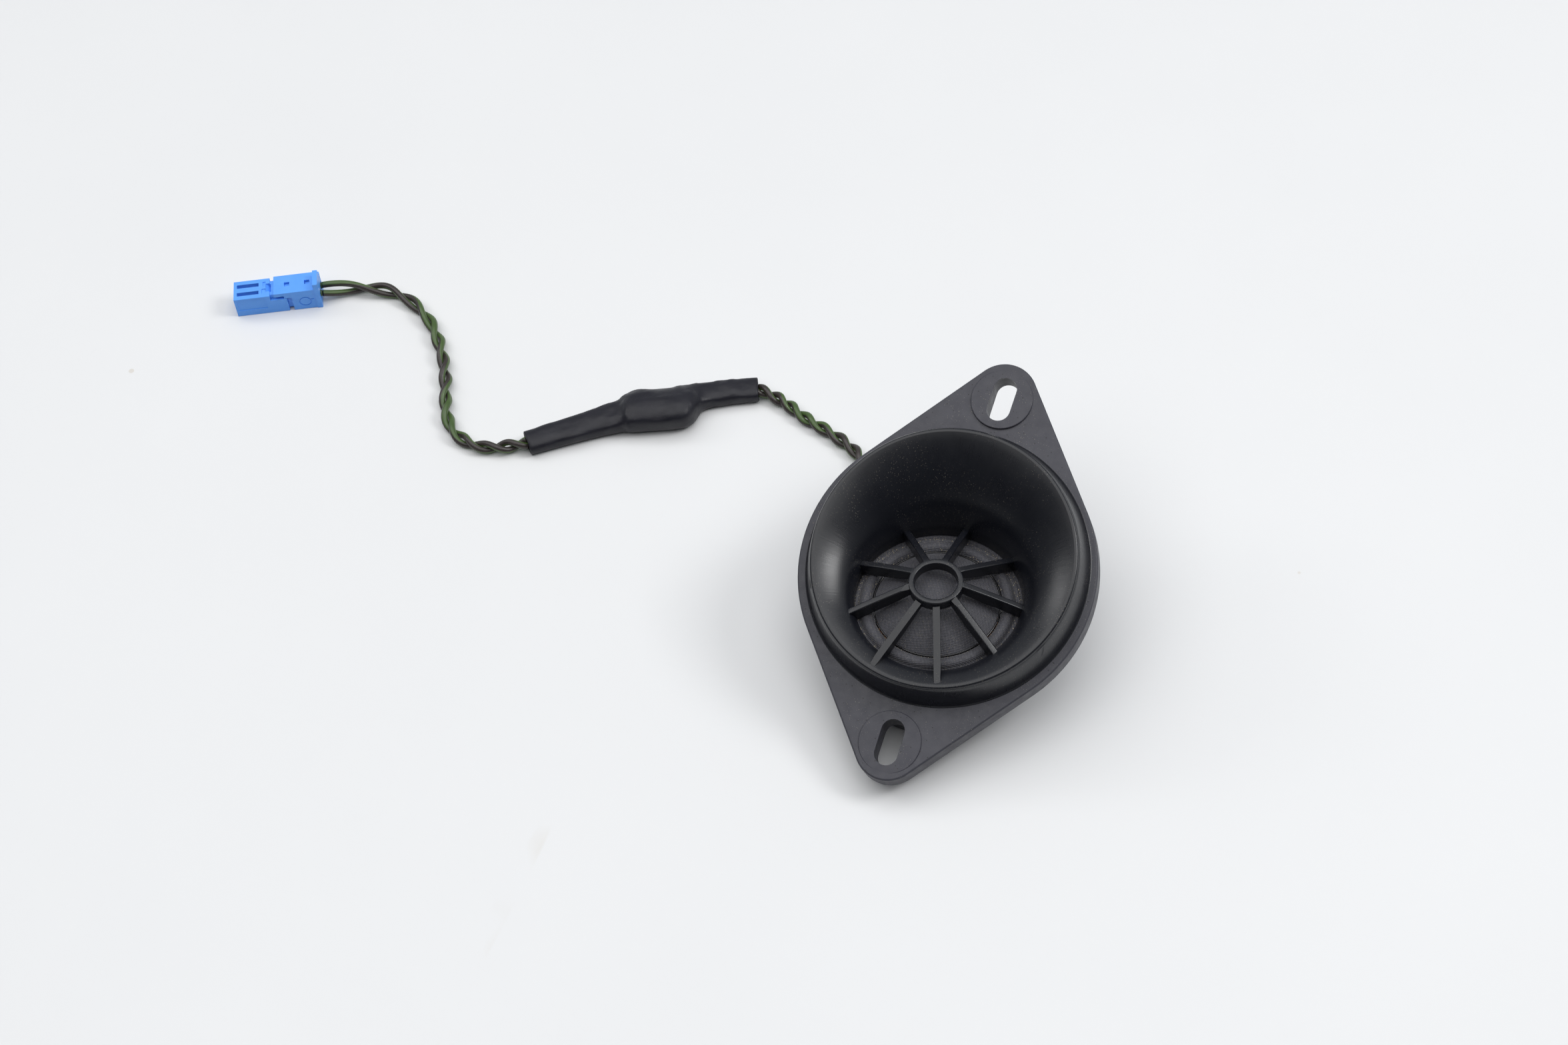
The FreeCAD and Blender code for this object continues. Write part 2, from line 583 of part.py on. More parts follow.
def sleeve_wires():
    """The short wire from each end of the sleeve to its crimp."""
    shapes = []
    for mouth, (a, _) in zip((0, len(SLEEVE) - 1), CRIMPS):
        start = in_sleeve(mouth, CRIMP_STEP)
        start = start + (a - start).normalize() * MOUTH_IN
        shapes.append(Part.makeCylinder(INNER_WIRE_R, (a - start).Length, start, a - start))
    return Part.makeCompound(shapes).cut(splice_crimps())


def bypass_wire():
    """The second wire of the pair runs straight through the sleeve, past the capacitor."""
    points = [in_sleeve(i, step) for i, step in enumerate(BYPASS_STEPS)]
    points[0] = points[0] + (points[1] - points[0]).normalize() * MOUTH_IN
    points[-1] = points[-1] + (points[-2] - points[-1]).normalize() * MOUTH_IN
    return rods(points, INNER_WIRE_R)


def capacitor_legs():
    """Each leg runs from its crimp to the capacitor's end face."""
    legs = []
    for side, (_, crimp_end) in zip((1, -1), CRIMPS):
        face = in_cap_frame(Part.Vertex(side * CAP_L / 2, -CAP_SHIFT, CAP_Z - 0.8)).Point
        legs.append(Part.makeCylinder(LEG_R, (face - crimp_end).Length, crimp_end, face - crimp_end))
    return Part.makeCompound(legs).cut(capacitor_body()).cut(splice_crimps())


# ---- connector -----------------------------------------------------------------------------------

def in_conn_frame(shape):
    return at_heading(shape, CONN_AT, CONN_HEADING)


def way_centres():
    return (-PITCH / 2, PITCH / 2)


def side_strip(u0, u1, side, thickness, z0, z1):
    """A strip along one outer side of the connector."""
    outer, inner = side * CONN_W / 2, side * (CONN_W / 2 - thickness)
    return box(u0, u1, min(outer, inner), max(outer, inner), z0, z1)


def way_cavity(u0, u1, y, size, high=None):
    """A square bar about one way's line; high gives another upper face."""
    half = size / 2
    return box(u0, u1, y - half, y + half, WIRE_Z - half, WIRE_Z + half if high is None else high)


def connector_housing():
    half = CONN_W / 2
    block = box(0, BLOCK_L, -half, half, CONN_Z0, CONN_H)
    rounded = [e for e in block.Edges if e.Length > BLOCK_L - 0.1 or e.BoundBox.XMax < 0.1]
    block = block.makeFillet(BLOCK_ROUND, rounded)
    start = BLOCK_L - 0.5
    body = box(start, BODY_L, -BODY_W / 2, BODY_W / 2, BODY_BOTTOM, LOCK_TOP - LOCK_WALL - LOCK_GAP)
    rails_end = LOCK_SKIRT_FROM - LOCK_TRAVEL - 0.3
    rails = [side_strip(start, rails_end, side, LIP_T + LOCK_GAP, CONN_Z0, RAIL_TOP) for side in sides()]
    floor = box(start, rails_end, -half, half, CONN_Z0, FLOOR_T)
    shape = fused([block, body, floor] + rails)
    for y in way_centres():
        shape = shape.cut(way_cavity(-1, BODY_L + 1, y, CAVITY))
        shape = shape.cut(box(*SLIT_U, y - SLIT_HALF, y + SLIT_HALF, WIRE_Z, CONN_H + 1))
    return shape


def connector_lock():
    """The sliding rear cover: a roof with side lips, a skirt round the back and an upright end plate."""
    half, inner = CONN_W / 2, BODY_W / 2 + LOCK_GAP
    end = CONN_L - END_T
    roof = LOCK_TOP - LOCK_WALL
    top = box(LOCK_FROM, end, -half, half, roof, LOCK_TOP)
    skirt = box(LOCK_SKIRT_FROM, end, -half, half, CONN_Z0, LOCK_TOP)
    skirt = skirt.cut(box(0, 30, -inner, inner, BODY_BOTTOM - 0.05 - LOCK_GAP, roof))
    lip = [side_strip(LOCK_FROM, end, side, LIP_T, RAIL_TOP + LOCK_GAP, LOCK_TOP) for side in sides()]
    plate = box(end, CONN_L, -half - 0.2, half + 0.2, CONN_Z0, END_TOP)
    shape = fused([top, skirt, plate] + lip)
    for y in way_centres():
        shape = shape.cut(way_cavity(end - 1, CONN_L + 1, y, CAVITY))
    for u in WINDOWS_U:
        window = box(u - WINDOW_HALF, u + WINDOW_HALF, -WINDOW_HALF, WINDOW_HALF, roof - 0.01, 10)
        shape = shape.cut(window)
    return shape


def connector_contacts():
    shapes = []
    for y in way_centres():
        socket = way_cavity(*SOCKET_U, y, CONTACT)
        socket = socket.cut(way_cavity(0, SOCKET_FLOOR_U, y, CONTACT - 2 * SOCKET_WALL))
        neck = way_cavity(SOCKET_U[1], CRIMP_U[0], y, CONTACT, WIRE_Z - CONTACT / 2 + NECK_T)
        crimp = way_cavity(*CRIMP_U, y, CONTACT)
        shapes.append(fused([socket, neck, crimp]))
    return Part.makeCompound(shapes)


def connector_wires():
    length = CONN_L + CONN_LEAD_GAP - CRIMP_U[1]
    wires = []
    for y in way_centres():
        wires.append(Part.makeCylinder(WIRE_R - CORE_GAP, length, V(CRIMP_U[1], y, WIRE_Z), V(1, 0, 0)))
    return Part.makeCompound(wires)


# ---- parts ---------------------------------------------------------------------------------------

def magnet_cup():
    return turned([(0, CUP_BOTTOM), (CUP_R, CUP_BOTTOM), (CUP_R, CUP_TOP), (CUP_IN, CUP_TOP),
                   (CUP_IN, CUP_BOTTOM + CUP_FLOOR), (0, CUP_BOTTOM + CUP_FLOOR)])


magnet_z = CUP_BOTTOM + CUP_FLOOR
plate_z = magnet_z + MAGNET_H
former = disc(FORMER_R + FORMER_T, FORMER_Z0, FORMER_Z1).cut(disc(FORMER_R, 0, 40))
coil_in, coil_out = FORMER_R + FORMER_T, FORMER_R + FORMER_T + COIL_T

driver_parts = {
    "front_housing": front_housing(),
    "dome_diaphragm": dome_diaphragm(),
    "dome_glue_ring": turned(GLUE_PROFILE),
    "surround": surround(),
    "coil_former": former,
    "voice_coil": disc(coil_out, COIL_Z, COIL_Z + COIL_H).cut(disc(coil_in, 0, 40)),
    "coil_leadouts": lead_outs(),
    "diaphragm_ring": diaphragm_ring(),
    "ring_gasket": disc(RING_R, RING_TOP + FABRIC, LEDGE_Z).cut(disc(GASKET_IN, 0, 40)),
    "top_plate": disc(PLATE_R, plate_z, CUP_TOP),
    "magnet": disc(MAGNET_R, magnet_z, plate_z),
    "magnet_cup": magnet_cup(),
    "felt_damper": disc(FELT_R, CUP_TOP, CUP_TOP + FELT_H),
    "absorber_pad": disc(COVER_IN - 0.6, COVER_FLOOR, CUP_BOTTOM),
    "terminal_board": terminal_board(),
    "terminals": Part.makeCompound(tabs()),
    "solder_joints": solder_joints(),
    "inner_leads": inner_leads(),
    "lead_clamp": lead_clamp(),
    "rear_cover": rear_cover(),
    "cover_screws": cover_screws(),
}
lead_parts = {
    "lead_tweeter_side": lead_tube("lead_tweeter_side", LEAD_A, PAIR_R),
    "lead_connector_side": lead_tube("lead_connector_side", LEAD_B, PAIR_R),
    "splice_sleeve": splice_sleeve(),
    "capacitor": capacitor_body(),
    "capacitor_legs": capacitor_legs(),
    "splice_crimps": splice_crimps(),
    "sleeve_wires": sleeve_wires(),
    "bypass_wire": bypass_wire(),
    "connector_housing": in_conn_frame(connector_housing()),
    "connector_lock": in_conn_frame(connector_lock()),
    "connector_contacts": in_conn_frame(connector_contacts()),
    "connector_wires": in_conn_frame(connector_wires()),
}

os.makedirs("parts", exist_ok=True)
placed = {name: driver_to_world(shape) for name, shape in driver_parts.items()}
placed.update(lead_parts)
for name, shape in placed.items():
    bounds = shape.BoundBox
    print(name, shape.isValid(), len(shape.Solids), "solids",
          "x", round(bounds.XMin, 2), round(bounds.XMax, 2), "y", round(bounds.YMin, 2), round(bounds.YMax, 2),
          "z", round(bounds.ZMin, 2), round(bounds.ZMax, 2))
    shape.exportStep("parts/" + name + ".step")
print("driver axis at y", round(AXIS_Y, 3))
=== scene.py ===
import math

import bmesh
import bpy
import numpy as np
from mathutils import Matrix, Vector, noise


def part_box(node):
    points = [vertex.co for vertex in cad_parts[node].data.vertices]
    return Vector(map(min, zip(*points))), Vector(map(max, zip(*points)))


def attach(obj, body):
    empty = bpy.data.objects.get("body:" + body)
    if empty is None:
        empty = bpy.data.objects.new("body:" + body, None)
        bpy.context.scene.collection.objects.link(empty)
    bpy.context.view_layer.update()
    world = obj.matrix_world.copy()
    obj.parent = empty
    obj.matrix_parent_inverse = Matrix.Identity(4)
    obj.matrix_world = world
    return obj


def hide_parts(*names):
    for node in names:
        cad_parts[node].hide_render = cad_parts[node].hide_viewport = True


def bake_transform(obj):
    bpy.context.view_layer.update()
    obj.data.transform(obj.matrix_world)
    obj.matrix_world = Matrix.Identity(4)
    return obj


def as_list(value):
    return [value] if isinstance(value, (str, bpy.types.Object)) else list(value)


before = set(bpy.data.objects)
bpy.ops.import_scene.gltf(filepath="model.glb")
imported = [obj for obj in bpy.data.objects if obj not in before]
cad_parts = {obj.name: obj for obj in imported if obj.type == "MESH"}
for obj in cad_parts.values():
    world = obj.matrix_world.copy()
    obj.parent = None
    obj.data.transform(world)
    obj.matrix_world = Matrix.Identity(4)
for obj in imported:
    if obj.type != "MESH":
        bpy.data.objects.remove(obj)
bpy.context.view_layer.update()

# Car tweeter: slanted flange with a horn and dome guard, woven dome, twisted lead, sleeved capacitor and
# 2-way plug. Sizes are in millimetres, in the driver's own frame: driver axis vertical, x = y = 0 on it.
# They are turned into metres where a mesh or a cord is made. Lights and the camera are placed in metres.

MM = 0.001


def middle(node):
    low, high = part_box(node)
    return [(a + b) / 2 / MM for a, b in zip(low, high)]


AXIS_Y = middle("magnet")[1]    # the driver axis stands here on the frame's Y axis, and at x = 0

# flange plane: u across, v along the ears, w normal
TILT = math.radians(21.5)
PLANE_Z = 22.5
FLANGE_T, FLANGE_SKIN, EDGE_WALL = 5.0, 2.6, 1.8
MID_V, MID_R = 6.7, 32.9
SLOT_V, SLOT_PITCH, SLOT_W, SLOT_L, SLOT_WALL = 6.9, 80.0, 5.2, 10.2, 1.9
TIP_OUT, TIP_R = 1.0, 7.4
PAD_R, PAD_RISE, PAD_ROUND = 6.9, 0.6, 0.25
EDGE_ROUND = 0.45

# collar and horn
FOOT_V, FOOT_R = 7.3, 31.0
RIM_V, RIM_R, RIM_H = 7.6, 29.2, 7.2
LIP_W, LIP_ROUND, FOOT_FILLET, FOOT_BREAK, SHELL = 0.9, 0.6, 0.5, 0.3, 1.8
# how the bowl's space ends: heights over the rim, and how much wider than the mouth it is there
MOUTH_EDGE = [(-0.03, 0.0), (0.02, 0.14), (0.06, 0.4), (2.0, 2.0)]
THROAT_R, THROAT_Y, THROAT_Z = 18.2, 0.8, 20.4
LEDGE_Z, JOINT_Z = 20.0, 15.5
SKIRT_R, SKIRT_TOP, RECESS_R = 21.9, 21.0, 20.6
BOWL_R, BOWL_Y = 23.4, 1.6
OVERLAP = 0.15
POST_TOP = 36.0
LUG_AT, LUG_R, LUG_ANGLES = 24.7, 2.9, (-15, 90, 195)
COVER_CLEAR_R, LUG_GAP, PILOT_R, PILOT_DEPTH = 21.5, 0.3, 1.05, 6.0

# dome guard
HUB_TOP, HUB_R, HUB_WALL, HUB_DEPTH = 29.0, 5.95, 1.25, 2.6
SPOKES, SPOKE_W, SPOKE_DEPTH = 9, 1.5, 3.2
SPOKE_SLOPE, SPOKE_BEND, SPOKE_ROOT, SPOKE_REACH = 0.40, 0.003, 0.6, 30.0
SPOKE_ROUND, HUB_ROUND = 0.32, 0.3

# cloth parts
DOME_R, DOME_Z, DOME_H = 13.6, 20.5, 4.8
DOME_GRID = 200
FABRIC = 0.3
RIM_TOP_Z = 19.7
ROLL_MID_R, ROLL_HALF_W, ROLL_RISE = 15.5, 1.28, 1.24
STEP_END_R = 18.2       # the surround's weave stands up to here, and the flat rim beyond it is glued down
BLEND_Z = (19.75, 20.4)     # two heights on the driver axis; add_cloth turns them into points and uses them no further
BEAD_R, BEAD_Z, BEAD_HALF_W, BEAD_HALF_H = 13.8, 20.42, 0.17, 0.22
WEAVE_PITCH, WEAVE_HEIGHT, WEAVE_TURN = 0.62, 0.035, math.radians(14)

# lead: two wires twisted about each route's line
WIRE_R = 0.78
TWIST_STEP = 0.35       # length of a wire's short straight runs
# how far from the plug its pair starts to open, and to spread to the ways
LOOSE_FROM, OPEN_FROM = 30.0, 5.0
# length of half a turn at each distance from the plug
HALF_TURNS = ((0, 20), (6, 15), (12, 10), (28, 9), (36, 6.6), (70, 6.2), (88, 5.0))
LEAD_A = [
    (-13.79, 10.57, 8.0), (-18.4, 16.9, 7.6), (-23.6, 24.6, 5.6), (-30.2, 32.7, 2.8), (-37.2, 40.0, 1.8),
    (-45.2, 43.4, 1.7), (-53.2, 45.7, 1.7), (-60.2, 49.3, 1.8), (-66.4, 50.0, 2.2),
]
LEAD_B = [
    (-112.2, 17.6, 2.2), (-117.6, 14.3, 1.9), (-124.3, 12.8, 1.7), (-131.2, 15.2, 1.7), (-135.8, 21.4, 1.7),
    (-139.6, 30.0, 1.7), (-144.6, 38.0, 1.7), (-151.8, 46.2, 1.7), (-162.4, 51.4, 1.7), (-172.8, 49.6, 2.1),
    (-180.61, 45.15, 3.1),
]

# the CAD nodes inside the sleeve and inside the plug
IN_SLEEVE = ("capacitor", "capacitor_legs", "splice_crimps", "sleeve_wires", "bypass_wire")
IN_PLUG = ("connector_contacts", "connector_wires")

# sleeve: x, y, heading in degrees, width, height of each section
SLEEVE = [
    (-66.4, 50.0, 204.0, 6.4, 4.0), (-72.6, 47.0, 207.0, 6.4, 4.2), (-78.0, 43.6, 208.0, 7.0, 4.8),
    (-80.6, 38.9, 207.0, 11.2, 7.1), (-91.5, 33.6, 207.0, 11.0, 6.9), (-95.0, 31.1, 214.0, 8.0, 5.0),
    (-102.6, 25.4, 219.0, 7.0, 4.4), (-112.2, 17.6, 221.0, 6.4, 4.0),
]
SLEEVE_WALL = 0.6
FAR_SLOPE = 0.35

# connector: origin at the bottom middle of its mating face, +u towards the wires, z over the table
CONN_AT, CONN_HEADING = (-199.76, 35.37), math.radians(27.05)
CONN_W, CONN_H, CONN_L, CONN_Z0 = 6.0, 6.0, 21.1, 0.05
BLOCK_L, BODY_L, BODY_W, BODY_BOTTOM, FLOOR_T = 8.9, 18.9, 4.6, 0.65, 1.2
PITCH, CAVITY, WAY_Z = 2.54, 1.9, 3.1
SLIT_U, SLIT_HALF = (0.8, 6.2), 0.55
LOCK_FROM, LOCK_TOP, LOCK_SKIRT_FROM, LOCK_END, END_TOP = 9.9, 6.4, 14.1, 19.9, 8.4
LOCK_WALL, LOCK_GAP, LOCK_TRAVEL, RAIL_TOP, LIP_T = 0.6, 0.1, 0.9, 4.4, 0.6
WINDOWS_U, WINDOW_HALF = (13.2, 18.2), 0.65
LEDGE_TOP, LEDGE_IN = 1.9, 0.14
PAD_DEPTH = 0.22                                # two shallow blank pads behind the slits
NOTCH_U, NOTCH_HALF, NOTCH_DEPTH = (-1.1, 0.3), 1.3, 1.6        # from the block's back face
MARK_AT, MARK_R, MARK_IN_R, MARK_DEPTH = (17.2, 2.7), 1.55, 1.25, 0.16      # plain ring on the skirt
BODY_ROUND, LOCK_ROUND = 0.13, 0.11

# how closely cut meshes are cleaned, in metres, and the angles that count as edges
MERGE, PLUG_MERGE = 2e-6, 4e-6
SHARP_FROM, BEVEL_FROM = math.radians(28), math.radians(35)


# ---- mesh helpers --------------------------------------------------------------------------------

def link(thing):
    bpy.context.scene.collection.objects.link(thing)
    return thing


def raw_mesh(name, points, faces):
    """A mesh from points in millimetres."""
    mesh = bpy.data.meshes.new(name)
    mesh.from_pydata([[c * MM for c in p] for p in points], [], faces)
    return mesh


def finished(mesh):
    """An object of a closed mesh, smooth-shaded, its faces turned outwards."""
    shape = bmesh.new()
    shape.from_mesh(mesh)
    bmesh.ops.recalc_face_normals(shape, faces=shape.faces)
    shape.to_mesh(mesh)
    shape.free()
    mesh.shade_smooth()
    return link(bpy.data.objects.new(mesh.name, mesh))


def mesh_object(name, points, faces):
    return finished(raw_mesh(name, points, faces))


def lofted(name, rings, closed=False):
    """A skin over rings of equal length: capped at both ends, or closed into a loop."""
    count = len(rings[0])
    points = [tuple(p) for ring in rings for p in ring]
    faces = []
    last = len(rings) if closed else len(rings) - 1
    for i in range(last):
        a, b = i * count, (i + 1) % len(rings) * count
        for j in range(count):
            k = (j + 1) % count
            faces.append((a + j, a + k, b + k, b + j))
    if not closed:
        faces += [tuple(range(count)), tuple(range((len(rings) - 1) * count, len(rings) * count))]
    return mesh_object(name, points, faces)


def combine(base, other, how):
    """base joined with, cut by or kept inside another closed mesh, which is used up."""
    step = base.modifiers.new("step", "BOOLEAN")
    step.operation, step.solver, step.object = how, "MANIFOLD", other
    graph = bpy.context.evaluated_depsgraph_get()
    result = bpy.data.meshes.new_from_object(base.evaluated_get(graph))
    base.modifiers.clear()
    before, base.data = base.data, result
    bpy.data.meshes.remove(before)
    bpy.data.meshes.remove(other.data)
    return base


def joined(base, *others):
    for other in others:
        combine(base, other, "UNION")
    return base


def cut(base, *others):
    for other in others:
        combine(base, other, "DIFFERENCE")
    return base


def crisp(piece):
    """Smooth shading that keeps real edges, with flat faces kept flat."""
    shape = bmesh.new()
    shape.from_mesh(piece.data)
    bmesh.ops.remove_doubles(shape, verts=shape.verts, dist=MERGE)
    bmesh.ops.dissolve_degenerate(shape, edges=shape.edges, dist=MERGE)
    shape.to_mesh(piece.data)
    shape.free()
    piece.data.shade_smooth()
    piece.data.set_sharp_from_angle(angle=SHARP_FROM)
    weighted = piece.modifiers.new("flat faces", "WEIGHTED_NORMAL")
    weighted.keep_sharp = True
    return piece


def circle_ring(centre, radius, lean=0.0, count=192):
    """A circle about centre (x, y, z), leaning over X by an angle."""
    a = np.arange(count) * 2 * math.pi / count
    side = radius * np.sin(a)
    return np.stack([centre[0] + radius * np.cos(a), centre[1] + side * math.cos(lean) + AXIS_Y,
                     centre[2] + side * math.sin(lean)], axis=1)


def disc(name, radius, z0, z1, x=0.0, y=0.0, count=96):
    return lofted(name, [circle_ring((x, y, z), radius, 0, count) for z in (z0, z1)])


def on_plane(u, v, w):
    """From the flange's own frame to the driver's, without the axis offset."""
    return (u, v * math.cos(TILT) - w * math.sin(TILT), PLANE_Z + v * math.sin(TILT) + w * math.cos(TILT))


def plane_ring(outline, w):
    """An outline of (u, v) points laid in the flange's frame at height w: one number, or one a point."""
    heights = w if hasattr(w, "__len__") else [w] * len(outline)
    ring = [on_plane(u, v, h) for (u, v), h in zip(outline, heights)]
    return [(x, y + AXIS_Y, z) for x, y, z in ring]


# ---- front housing -------------------------------------------------------------------------------

def arc(centre, radius, start, end, count):
    angles = np.linspace(start, end, count)
    return [(centre[0] + radius * math.cos(a), centre[1] + radius * math.sin(a)) for a in angles]


def ear_outline(shrink):
    """Two tip arcs and two middle arcs, joined by their common tangents."""
    wide, tip = MID_R - shrink, TIP_R - shrink
    top = SLOT_V + SLOT_PITCH / 2 + TIP_OUT
    bottom = SLOT_V - SLOT_PITCH / 2 - TIP_OUT
    up = math.asin((wide - tip) / (top - MID_V))
    down = -math.asin((wide - tip) / (MID_V - bottom))
    pi = math.pi
    upper = arc((0, MID_V), wide, down, up, 64) + arc((0, top), tip, up, pi - up, 40)
    lower = arc((0, MID_V), wide, pi - up, pi - down, 64)
    return upper + lower + arc((0, bottom), tip, pi - down, 2 * pi + down, 40)


def slot_outline(v, grow=0.0):
    half, reach = SLOT_W / 2 + grow, (SLOT_L - SLOT_W) / 2
    return arc((0, v + reach), half, 0, math.pi, 24) + arc((0, v - reach), half, math.pi, 2 * math.pi, 24)


def slot_centres():
    return [(1, SLOT_V + SLOT_PITCH / 2), (-1, SLOT_V - SLOT_PITCH / 2)]


def rounded_edge(radius, steps):
    """(inset, drop) pairs round a quarter circle, from the wall to the face."""
    angles = np.linspace(0, math.pi / 2, steps)
    return [(radius * (1 - math.cos(a)), radius * (1 - math.sin(a))) for a in angles]


def flange_plate():
    levels = [(EDGE_ROUND * 0.6, -FLANGE_T), (0.0, -FLANGE_T + EDGE_ROUND * 0.6)]
    levels += [(inset, -drop) for inset, drop in rounded_edge(EDGE_ROUND, 6)]
    return lofted("flange_plate", [plane_ring(ear_outline(inset), w) for inset, w in levels])


def slot_pad(side, v):
    """A round pad, proud on the horn's side and flush at the tip, with a soft edge."""
    slope = side * PAD_RISE / (2 * PAD_R)
    rings = []
    for inset, drop in [(0.0, 2.0)] + rounded_edge(PAD_ROUND, 5):
        outline = arc((0, v), PAD_R - inset, 0, 2 * math.pi, 97)[:-1]
        top = [PAD_RISE / 2 - slope * (q - v) - drop for _, q in outline]
        rings.append(plane_ring(outline, top))
    return lofted("pad", rings)


def collar_solid():
    """The collar's outside: foot, small fillet, wall that draws in, and the lip's outer round."""
    fillet, lip = FOOT_FILLET, LIP_ROUND
    profile = [(-FLANGE_T, FOOT_R - FOOT_BREAK), (-FLANGE_T + FOOT_BREAK, FOOT_R), (-0.2, FOOT_R)]
    profile += [(fillet - fillet * math.cos(a), FOOT_R + fillet - fillet * math.sin(a))
                for a in np.linspace(0, math.pi / 2, 6)]

    def wall(w):
        return FOOT_R + (RIM_R - FOOT_R) * w / RIM_H

    profile += [(w, wall(w)) for w in np.linspace(0.8, RIM_H - lip - 0.3, 8)]
    profile += [(RIM_H - lip + lip * math.sin(a), RIM_R - lip + lip * math.cos(a))
                for a in np.linspace(0, math.pi / 2, 7)]
    rings = []
    for w, radius in profile:
        v = FOOT_V + (RIM_V - FOOT_V) * max(w, 0) / RIM_H
        rings.append(circle_ring(on_plane(0, v, w), radius, TILT, 288))
    return lofted("collar", rings)


def horn_ring(t, grow, drop, count=288):
    """One circle of the horn: height and lean grow evenly from throat to rim, the flare with the square."""
    rim = on_plane(0, RIM_V, RIM_H)
    mouth = RIM_R - LIP_W
    flare = t * t
    centre_y = THROAT_Y + (rim[1] - THROAT_Y) * flare
    centre_z = THROAT_Z + (rim[2] - THROAT_Z) * t
    depth = THROAT_R + (mouth * math.cos(TILT) - THROAT_R) * flare
    lean = math.atan2(t * mouth * math.sin(TILT), depth)
    radius = THROAT_R + (mouth - THROAT_R) * flare + grow
    return circle_ring((0, centre_y, centre_z - drop), radius, lean, count)


def horn_solid(grow, drop, steps=40):
    return lofted("horn", [horn_ring(i / steps, grow, drop) for i in range(steps + 1)])


def horn_cut():
    """The bowl's inner space: it ends in a soft inner edge at the lip and runs past the rim."""
    steps = 40
    rings = [horn_ring(i / steps, 0, 0) for i in range(steps)]
    mouth = RIM_R - LIP_W
    for above, wider in MOUTH_EDGE:
        rings.append(circle_ring(on_plane(0, RIM_V, RIM_H + above), mouth + wider, TILT, 288))
    return lofted("horn", rings)


def cavity():
    """The hollow between the collar's wall and the horn's back."""
    foot, rim = FOOT_R - SHELL, RIM_R - SHELL
    levels = [(-3 * FLANGE_T, FOOT_V, foot), (0, FOOT_V, foot), (RIM_H - 2, RIM_V, rim)]
    inner = lofted("inner", [circle_ring(on_plane(0, v, w), r, TILT, 144) for w, v, r in levels])
    back = SHELL - OVERLAP
    skirt = disc("skirt", SKIRT_R - OVERLAP, JOINT_Z, SKIRT_TOP - OVERLAP)
    return cut(inner, horn_solid(back, back, 16), skirt)


def underside_hollow():
    outline = ear_outline(EDGE_WALL)
    hollow = lofted("hollow", [plane_ring(outline, -FLANGE_T - 1), plane_ring(outline, -FLANGE_SKIN)])
    for _, v in slot_centres():
        wall = slot_outline(v, SLOT_WALL)
        cut(hollow, lofted("wall", [plane_ring(wall, -FLANGE_T - 2), plane_ring(wall, 0)]))
    foot = [circle_ring(on_plane(0, FOOT_V, w), FOOT_R - 0.2, TILT, 144) for w in (-FLANGE_T - 2, 0)]
    return cut(hollow, lofted("foot", foot))


def spoke():
    """One spoke along +X: flat top with round shoulders, straight sides, drawn out along its bent line."""
    half = SPOKE_W / 2
    top = [(half - inset, drop) for inset, drop in rounded_edge(SPOKE_ROUND, 5)]
    rings = []
    for r in np.linspace(HUB_R - HUB_WALL * 0.6, SPOKE_REACH, 30):
        run = max(r - HUB_R, 0.0)
        z = HUB_TOP - SPOKE_SLOPE * run - SPOKE_BEND * run * run - 0.04
        deep = HUB_DEPTH + (SPOKE_DEPTH - HUB_DEPTH) * min(run / 4, 1.0)
        section = [(-half, deep), (half, deep)] + top + [(-y, drop) for y, drop in reversed(top)]
        rings.append([(r, y, z - drop) for y, drop in section])
    return rings


def guard():
    """Nine spokes that end inside the horn's wall, and the centre ring."""
    wall, edge = HUB_WALL / 2, HUB_ROUND
    mid_r, mid_z = HUB_R - wall, HUB_TOP - HUB_DEPTH / 2
    profile = []
    for i, (sr, sz) in enumerate([(1, 1), (-1, 1), (-1, -1), (1, -1)]):
        for a in np.linspace(i * math.pi / 2, (i + 1) * math.pi / 2, 5):
            profile.append((mid_r + sr * (wall - edge) + edge * math.cos(a),
                            mid_z + sz * (HUB_DEPTH / 2 - edge) + edge * math.sin(a)))
    ring = lofted("hub", [circle_ring((0, 0, z), r, 0, 128) for r, z in profile], closed=True)
    for i in range(SPOKES):
        turn = math.radians(90 + i * 360 / SPOKES)
        c, s = math.cos(turn), math.sin(turn)
        rings = [[(x * c - y * s, x * s + y * c + AXIS_Y, z) for x, y, z in section] for section in spoke()]
        blade = lofted("spoke", rings)
        joined(ring, combine(blade, horn_solid(SPOKE_ROOT, SPOKE_ROOT / 2, 24), "INTERSECT"))
    return ring


